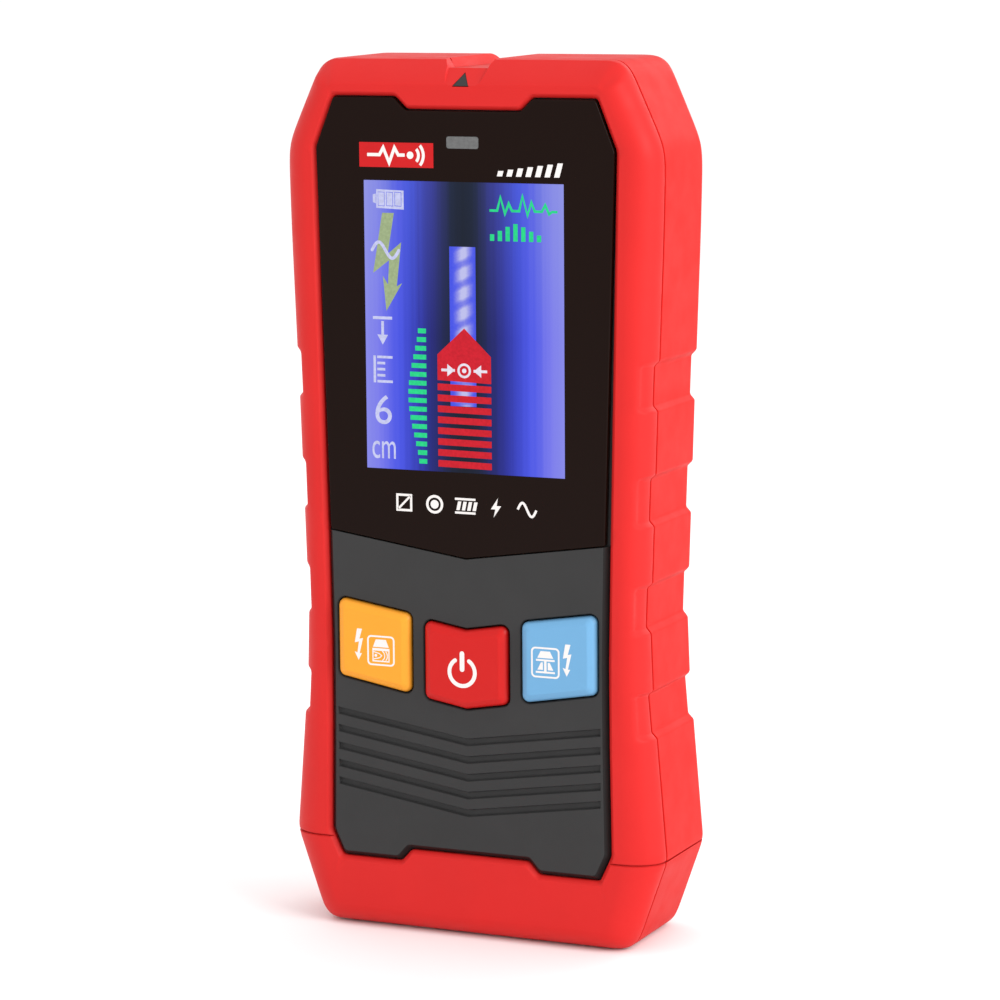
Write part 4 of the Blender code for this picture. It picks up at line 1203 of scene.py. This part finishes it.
def make_picture():
    """What the display shows: battery, live-wire sign, depth, strip, rod, arrow and bars."""
    def show(name, shapes, depth, look):
        return place(marks(name, shapes, depth, look, 0.05), "housing", "lcd_glass")

    # battery sign
    shell = [[(-16.0, 128.5), (-10.9, 128.35), (-10.9, 125.15), (-16.0, 125.35)]]
    cells = []
    for i in range(3):
        a = -15.72 + 1.56 * i
        cells.append([(a, 128.1), (a, 125.7), (a + 1.28, 125.65), (a + 1.28, 128.05)])
    show("lit_battery", [shell + cells, [(-16.65, 127.6), (-16.1, 127.75), (-16.1, 126.1),
                                          (-16.65, 126.3)]], -0.012, "lit_pale")
    show("lit_battery_cells", [
        [(c[0][0] + 0.1, c[0][1] - 0.1), (c[1][0] + 0.1, c[1][1] + 0.1),
         (c[2][0] - 0.1, c[2][1] + 0.1), (c[3][0] - 0.1, c[3][1] - 0.1)] for c in cells
    ], -0.01, "lit_pale")
    # live-wire sign
    show("lit_bolt", [[
        (-14.95, 124.55), (-12.75, 124.55), (-14.0, 117.6), (-11.45, 119.65), (-12.35, 112.2),
        (-11.35, 112.75), (-14.35, 107.95), (-14.95, 113.9), (-14.0, 112.45), (-13.75, 116.55),
        (-16.75, 114.35),
    ]], -0.008, "lit_olive")
    wave = [(-16.9 + 5.0 * i / 28, 118.25 + 1.35 * math.sin(2 * math.pi * i / 28))
            for i in range(29)]
    show("lit_wave", [capped(wave, 0.55)], -0.022, "lit_pale")
    # depth of the find: an arrow down to a line, then the figure and its unit
    show("lit_depth_arrow", [
        rect(-16.9, -13.3, 106.5, 107.0),
        rect(-15.35, -14.85, 103.6, 106.2),
        [(-15.1, 102.2), (-16.1, 103.9), (-14.1, 103.9)],
    ], -0.014, "lit_pale")
    show("lit_depth_scale", [
        rect(-16.9, -16.45, 95.7, 100.3), *[
            rect(-16.2, -13.3 if i in (0, 4) else -14.7, 95.7 + 1.04 * i, 96.14 + 1.04 * i)
            for i in range(5)]
    ], -0.014, "lit_pale")
    for name, *values in (("lit_figure", "6", -16.65, 88.6, 5.0, 3.1),
                          ("lit_unit", "cm", -17.3, 82.7, 3.0, 4.4)):
        place(letters(name, *values, -0.016, "lit_pale"), "housing", "lcd_glass")
    # rod in the wall
    show("lit_rod_field", [rect(-2.55, 2.25, 92.3, 119.2)], -0.006, "lit_rod")
    # strength strip
    steps = []
    for i in range(16):
        z = 82.2 + 1.48 * i
        reach = 1.5 + 1.9 * (0.5 - 0.5 * math.cos(2 * math.pi * i / 15)) ** 0.7
        steps.append(rect(-7.0 - reach, -7.0, z, z + 0.82))
    show("lit_strip", steps, -0.014, "lit_green")
    # arrow and bars
    arrow = [(0.08, 105.5), (4.95, 100.85), (4.98, 96.3), (-4.92, 96.6), (-4.92, 100.95)]
    show("lit_arrow", [arrow], -0.012, "lit_red")
    bars = []
    for i in range(8):
        z = 94.75 - 1.86 * i
        bars.append([(-4.92, z + 0.13), (4.98, z), (4.98, z + 1.12), (-4.92, z + 1.27)])
    show("lit_bars", bars, -0.012, "lit_red")
    show("lit_target", [
        ring(0.03, 98.35, 1.25, 0.85), arc(0.03, 98.35, 0.4, 0, 345, 23),
        rect(-4.2, -1.7, 98.12, 98.58), rect(1.76, 4.26, 98.12, 98.58),
        [(-3.1, 99.4), (-3.1, 97.3), (-1.75, 98.35)], [(3.16, 99.4), (3.16, 97.3), (1.81, 98.35)],
    ], -0.024, "lit_white")
    # echo trace and level row
    trace = [(4.9, 125.4), (6.3, 125.4), (6.9, 127.6), (7.7, 124.9), (8.4, 126.6), (9.0, 125.4),
             (10.3, 125.4), (10.9, 127.9), (11.8, 124.7), (12.5, 126.9), (13.1, 125.4),
             (14.4, 125.4), (15.0, 126.5), (15.7, 125.0), (16.2, 125.4), (17.2, 125.4)]
    show("lit_trace", [stroke(trace, 0.42)], -0.014, "lit_green")
    level = []
    for i in range(7):
        x = 4.95 + 1.42 * i
        tall = (1.1, 1.7, 2.4, 2.9, 2.4, 1.7, 1.1)[i]
        level.append(rect(x, x + 0.78, 120.35, 120.35 + tall))
    show("lit_level", level, -0.014, "lit_green")


# --- key symbols ---

BOLT = [(0.62, 2.75), (-0.35, 2.75), (-0.8, 0.25), (0.0, 0.45), (-0.32, -1.55), (-0.85, -1.35),
        (-0.1, -2.85), (0.55, -1.6), (0.12, -1.62), (0.78, 1.1), (0.1, 0.95)]


def on_key(name, shapes, dx, dz, body, slot):
    return place(marks(name, moved(shapes, dx, dz), -KEY_RISE - 0.02, "ink"), body, slot)


def make_key_marks():
    """White symbols: a wooden block, a steel beam, two bolts and the power sign."""
    bolt = [mapped(BOLT, lambda x, z: (x * 0.98, z * 0.98))]
    square = [soft_rect(-2.6, 2.6, -2.62, 2.62, 0.75), soft_rect(-2.3, 2.3, -2.32, 2.32, 0.5)]
    wood = [
        square,
        [(-0.95, 1.95), (0.95, 1.95), (1.5, 0.62), (-1.5, 0.62)],
        [rect(-1.62, 1.62, -1.95, 0.42), rect(-1.42, 1.42, -1.72, -0.02)],
        arc(-0.98, -0.87, 0.26, 0, 360, 16)[:-1],
        stroke([(-1.42, -0.22), (-0.3, -0.5), (0.15, -0.87), (-0.3, -1.24), (-1.42, -1.52)], 0.17),
        stroke(arc(-0.2, -0.87, 0.92, 62, -62, 12), 0.17),
        stroke(arc(0.1, -0.87, 1.12, 44, -44, 12), 0.17),
    ]
    on_key("wood_sign", wood, -15.58, 49.55, "left_button", "key_yellow")
    on_key("wood_bolt", bolt, -19.75, 50.45, "left_button", "key_yellow")
    beam = [
        square,
        [(-0.85, 1.95), (0.85, 1.95), (1.45, 0.78), (-1.45, 0.78)],
        [(-1.7, 0.56), (1.7, 0.56), (1.7, 0.24), (0.22, 0.24), (0.22, -1.5), (1.75, -1.5),
         (1.75, -1.82), (-1.75, -1.82), (-1.75, -1.5), (-0.22, -1.5), (-0.22, 0.24), (-1.7, 0.24)],
        [(-0.45, 0.02), (-0.8, 0.02), (-1.45, -1.25), (-0.45, -1.25)],
        [(0.45, 0.02), (0.8, 0.02), (1.45, -1.25), (0.45, -1.25)],
    ]
    on_key("beam_sign", beam, 15.1, 49.75, "right_button", "key_blue")
    on_key("beam_bolt", bolt, 19.1, 50.45, "right_button", "key_blue")

    def tip(angle, start):
        x, z = arc(0, 0, 2.37, angle, angle, 1)[0]
        return arc(x, z, 0.35, start, start + 180, 8)[1:-1]
    first, last = 123, 417      # degrees where the ring of the power sign starts and ends
    loop = arc(0, 0, 2.72, first, last, 60) + tip(last, last)
    loop += arc(0, 0, 2.02, last, first, 60) + tip(first, first + 180)
    bar = capped([(0, 0.5), (0, 3.2)], 0.86)
    on_key("power_sign", [loop, bar], -0.3, 46.95, "power_button", "key_red")


# --- back ---

def make_screw(name, x, z, seat, head_r, head_h, shank_r, tip, body, node):
    """A pan-head screw with a domed edge, a cross recess and a threaded shank."""
    stations = [(tip, 0.15), (tip + 0.9, shank_r * 0.92)]
    depth = tip + 0.9
    pitch = 0.9
    while depth + pitch < seat - 0.3:
        stations += [(depth + pitch * 0.3, shank_r * 0.78), (depth + pitch * 0.5, shank_r),
                     (depth + pitch * 0.62, shank_r)]
        depth += pitch
    stations += [(seat - 0.15, shank_r * 0.8), (seat, shank_r * 0.85), (seat, head_r * 0.98)]
    for i in range(6):
        angle = math.pi / 2 * i / 5
        stations.append((seat + head_h * (0.45 + 0.55 * math.sin(angle)),
                         head_r * (0.62 + 0.38 * math.cos(angle))))
    made = round_rod(name, x, z, stations, "zinc", sides=40)
    w, h = head_r * 0.55, head_r * 0.13
    top = seat + head_h
    for a, b in ((w, h), (h, w)):
        cut(made, loft("slot", [
            [(x - a * s, d, z - b * s), (x + a * s, d, z - b * s), (x + a * s, d, z + b * s),
             (x - a * s, d, z + b * s)] for d, s in ((top - head_h * 0.62, 0.72), (top + 1, 1.15))
        ]))
    return place(smooth(made), body, "screw_zinc", node)


def make_back():
    """What the back carries: screws, felt pads and a label of generic symbols."""
    for i, (x, z) in enumerate(CASE_SCREWS, 1):
        make_screw(f"back_screw_{i}", x, z, 21.35, 2.4, 1.7, 1.22, 6.0, "housing",
                   f"case_screw_{i}")
    make_screw("bay_screw", *DOOR_SCREW, BACK - 1.0, 2.3, 0.9, 1.1, 14.5, "cover", "door_screw")
    for i, (x, z) in enumerate(PADS, 1):
        def pad(grow):
            return soft_rect(x - 5.0 + grow, x + 5.0 - grow, z - 2.0 + grow, z + 2.0 - grow,
                             1.1 - grow * 0.8, 6)
        made = loft(f"felt_pad_{i}", stack(
            pad, (0.0, BACK - 0.35), (0.0, BACK + 0.3), (0.06, BACK + 0.43), (0.2, BACK + 0.52),
            (0.4, BACK + 0.55),
        ), "felt")
        place(smooth(made), "housing", "felt_black", f"glide_pad_{i}")

    def sheet(grow):
        return soft_rect(-17.0 + grow, 17.0 - grow, 74.0 + grow, 106.0 - grow, 2.0)

    label = loft("back_label", stack(
        sheet, (0, BACK - 0.3), (0, BACK - 0.09), (0.04, BACK - 0.05),
    ), "foil")
    place(smooth(label), "housing", "label_silver", "rear_label")
    shapes = [[soft_rect(-15.8, 15.8, 75.2, 104.8, 1.4), soft_rect(-15.5, 15.5, 75.5, 104.5, 1.1)]]
    # battery with its poles
    shapes += [[rect(-13.0, -4.0, 97.2, 102.4), rect(-12.6, -4.4, 97.6, 102.0)],
               rect(-4.0, -3.2, 98.2, 99.3), rect(-4.0, -3.2, 100.3, 101.4),
               rect(-11.6, -9.8, 99.6, 100.0), rect(-10.9, -10.5, 98.9, 100.7),
               rect(-7.2, -5.4, 99.6, 100.0)]
    # direct current sign
    shapes += [rect(0.5, 6.0, 100.6, 101.0), *[rect(0.5 + 2.0 * i, 2.0 + 2.0 * i, 99.2, 99.6)
                                               for i in range(3)]]
    # how the scanner lies on the wall and moves over it
    shapes += [rect(-13.0, -11.6, 78.0, 94.0), *[
        stroke([(-13.0, 79.5 + 3.6 * i), (-14.6, 78.2 + 3.6 * i)], 0.3) for i in range(5)],
        [soft_rect(-11.0, -7.6, 80.5, 91.5, 0.7), soft_rect(-10.6, -8.0, 80.9, 91.1, 0.4)],
        rect(-5.2, -4.7, 82.0, 90.0), [(-6.1, 89.8), (-3.8, 89.8), (-4.95, 92.2)],
        [(-6.1, 82.2), (-4.95, 79.8), (-3.8, 82.2)],
        [rect(0.6, 13.4, 78.4, 93.6), rect(1.0, 13.0, 78.8, 93.2)],
        rect(2.9, 4.3, 78.8, 93.2), rect(9.7, 11.1, 78.8, 93.2), rect(6.8, 7.2, 80.2, 91.8)]
    # seen from behind, x runs the other way
    shapes = [mapped(shape, lambda x, z: (-x, z)) for shape in shapes]
    place(marks("label_symbols", shapes, BACK - 0.09, "print", 0.07), "housing", "label_silver")


# --- inside ---

def make_battery():
    """A block battery with rolled ends, a banded jacket and its two snap terminals."""
    def section(grow):
        return soft_rect(5.6 + grow, 22.1 - grow, 5.6 + grow, 31.4 - grow, 1.9 - grow * 0.7, 7)

    def run(stations):
        return [[(x, d, z) for d, z in section(grow)] for x, grow in stations]

    band = -9.5
    dark = loft("battery_sleeve", run([(-24.6, 0.25), (-24.75, 0.1), (-24.5, 0.0), (band, 0.0)]),
                "jacket")
    light = loft("battery_top_band", run([(band + 0.02, 0.0), (20.9, 0.0), (21.15, 0.12),
                                          (21.0, 0.35)]), "copper_print")
    caps = [loft("cap", run([(-25.0, 0.55), (-24.55, 0.5)]), "tin"),
            loft("cap", run([(20.9, 0.5), (21.35, 0.6)]), "tin")]
    for z, radii in ((12.2, ((21.3, 2.3), (21.6, 2.5), (22.3, 2.55), (22.75, 2.4), (22.9, 2.0))),
                     (24.8, ((21.3, 2.9), (21.6, 3.2), (22.2, 3.1), (22.7, 3.45), (22.9, 3.3)))):
        loops = []
        for x, r in radii:
            turn = [2 * math.pi * i / 36 for i in range(36)]
            loops.append([(x, 13.85 + r * math.cos(a), z + r * math.sin(a)) for a in turn])
        caps.append(loft("terminal", loops, "tin"))
    for made in (dark, light):
        smooth(made, 35)
    metal = smooth(merge("battery_caps", caps), 35)
    place(dark, "housing", "battery_jacket", "battery")
    place(light, "housing", "battery_jacket")
    place(metal, "housing", "battery_jacket")


def make_snap():
    """The soft cover of the battery snap."""
    def plate(grow):
        return soft_rect(8.4 + grow, 19.3 - grow, 6.8 + grow, 30.2 - grow, 2.6 - grow * 0.5, 7)

    snap = loft("snap_cover", [
        [(x, d, z) for d, z in plate(grow)]
        for x, grow in ((23.1, 0.15), (23.2, 0.0), (24.6, 0.0), (24.85, 0.12), (25.0, 0.4))
    ], "vinyl")
    place(smooth(snap, 35), "housing", "snap_black", "battery_snap")


def make_inside():
    make_battery()
    make_snap()
    for node, look in (
        ("lcd_panel", "lens"), ("lcd_frame", "tin"), ("display_flex", "amber"),
        ("flex_socket", "cream"), ("main_board", "green"), ("sensor_board", "green"),
        ("left_switch", "chip"), ("power_switch", "chip"), ("right_switch", "chip"),
        ("status_led", "lamp"), ("light_pipe", "pipe"), ("microcontroller", "chip"),
        ("memory_chip", "chip"), ("crystal", "tin"), ("inductor", "ferrite"),
        ("capacitor", "tin"), ("buzzer", "chip"), ("shield_can", "tin"), ("board_link", "chip"),
        ("search_coil", "copper"), ("lead_red", "wire_red"), ("lead_black", "wire_black"),
        ("door_insert", "brass"), *[(f"board_screw_{i}", "zinc") for i in range(1, 5)],
    ):
        obj = frame["nodes"][node]
        dress(obj, look)
        smooth(obj, 32)


# --- stage ---

def make_stage():
    bm = bmesh.new()
    bmesh.ops.create_grid(bm, x_segments=2, y_segments=2, size=40.0)
    LOOKS["floor"] = Look("pale_floor", (0.93, 0.93, 0.93), 0.9, specular=0.0)
    floor = to_object("floor", bm, "floor")
    floor.location = (0, 0, CAD_BOX[0][2] - 0.00002)

    world_look = bpy.data.worlds.new("tent")
    bpy.context.scene.world = world_look
    world_look.use_nodes = True
    back = world_look.node_tree.nodes["Background"]
    back.inputs["Color"].default_value = (1.0, 1.0, 1.0, 1.0)
    back.inputs["Strength"].default_value = 1.12

    def lamp(name, where, aim, size, power):
        data = bpy.data.lights.new(name, "AREA")
        data.shape = "SQUARE"
        data.size = size
        data.energy = power
        obj = link_object(name, data)
        obj.location = where
        obj.rotation_euler = (Vector(aim) - Vector(where)).to_track_quat("-Z", "Y").to_euler()
    lamp("key_softbox", (0.85, -0.25, 0.45), (0.0, 0.0, 0.08), 0.6, 5.5)
    lamp("rim_softbox", (0.35, 0.85, 0.65), (0.0, 0.0, 0.1), 0.6, 2.2)


def make_camera():
    data = bpy.data.cameras.new("view")
    data.sensor_width = 36.0
    data.lens = 132.994
    data.clip_start = 0.05
    data.clip_end = 200.0
    camera = link_object("view", data)
    yaw, pitch, roll = (math.radians(a) for a in (24.09, 8.75, -0.41))
    ahead = Vector((-math.sin(yaw) * math.cos(pitch), math.cos(yaw) * math.cos(pitch),
                    -math.sin(pitch)))
    right = Vector((math.cos(yaw), math.sin(yaw), 0.0))
    up = right.cross(ahead)
    across = right * math.cos(roll) + up * math.sin(roll)
    upward = up * math.cos(roll) - right * math.sin(roll)
    turn = Matrix((across, upward, -ahead)).transposed()
    camera.matrix_world = Matrix.Translation(
        (0.257031, (-560.470 - CENTRE_DEPTH) * MM, 0.171258)) @ turn.to_4x4()
    bpy.context.scene.camera = camera
    bpy.context.scene.view_settings.view_transform = "Standard"


def main():
    make_looks()
    make_camera()
    make_skin()
    make_front_shell()
    solid = rear_solid()
    other = copy_of(solid)
    make_rear_case(solid)
    make_door(other)
    make_window()
    left, power, right = key_polygons()
    make_key("yellow_key", left, "yellow", "left_button", "key_yellow", "left_key")
    make_key("red_key", power, "key_red", "power_button", "key_red", "power_key")
    make_key("blue_key", right, "blue", "right_button", "key_blue", "right_key")
    make_key_marks()
    make_back()
    make_inside()
    make_stage()


main()
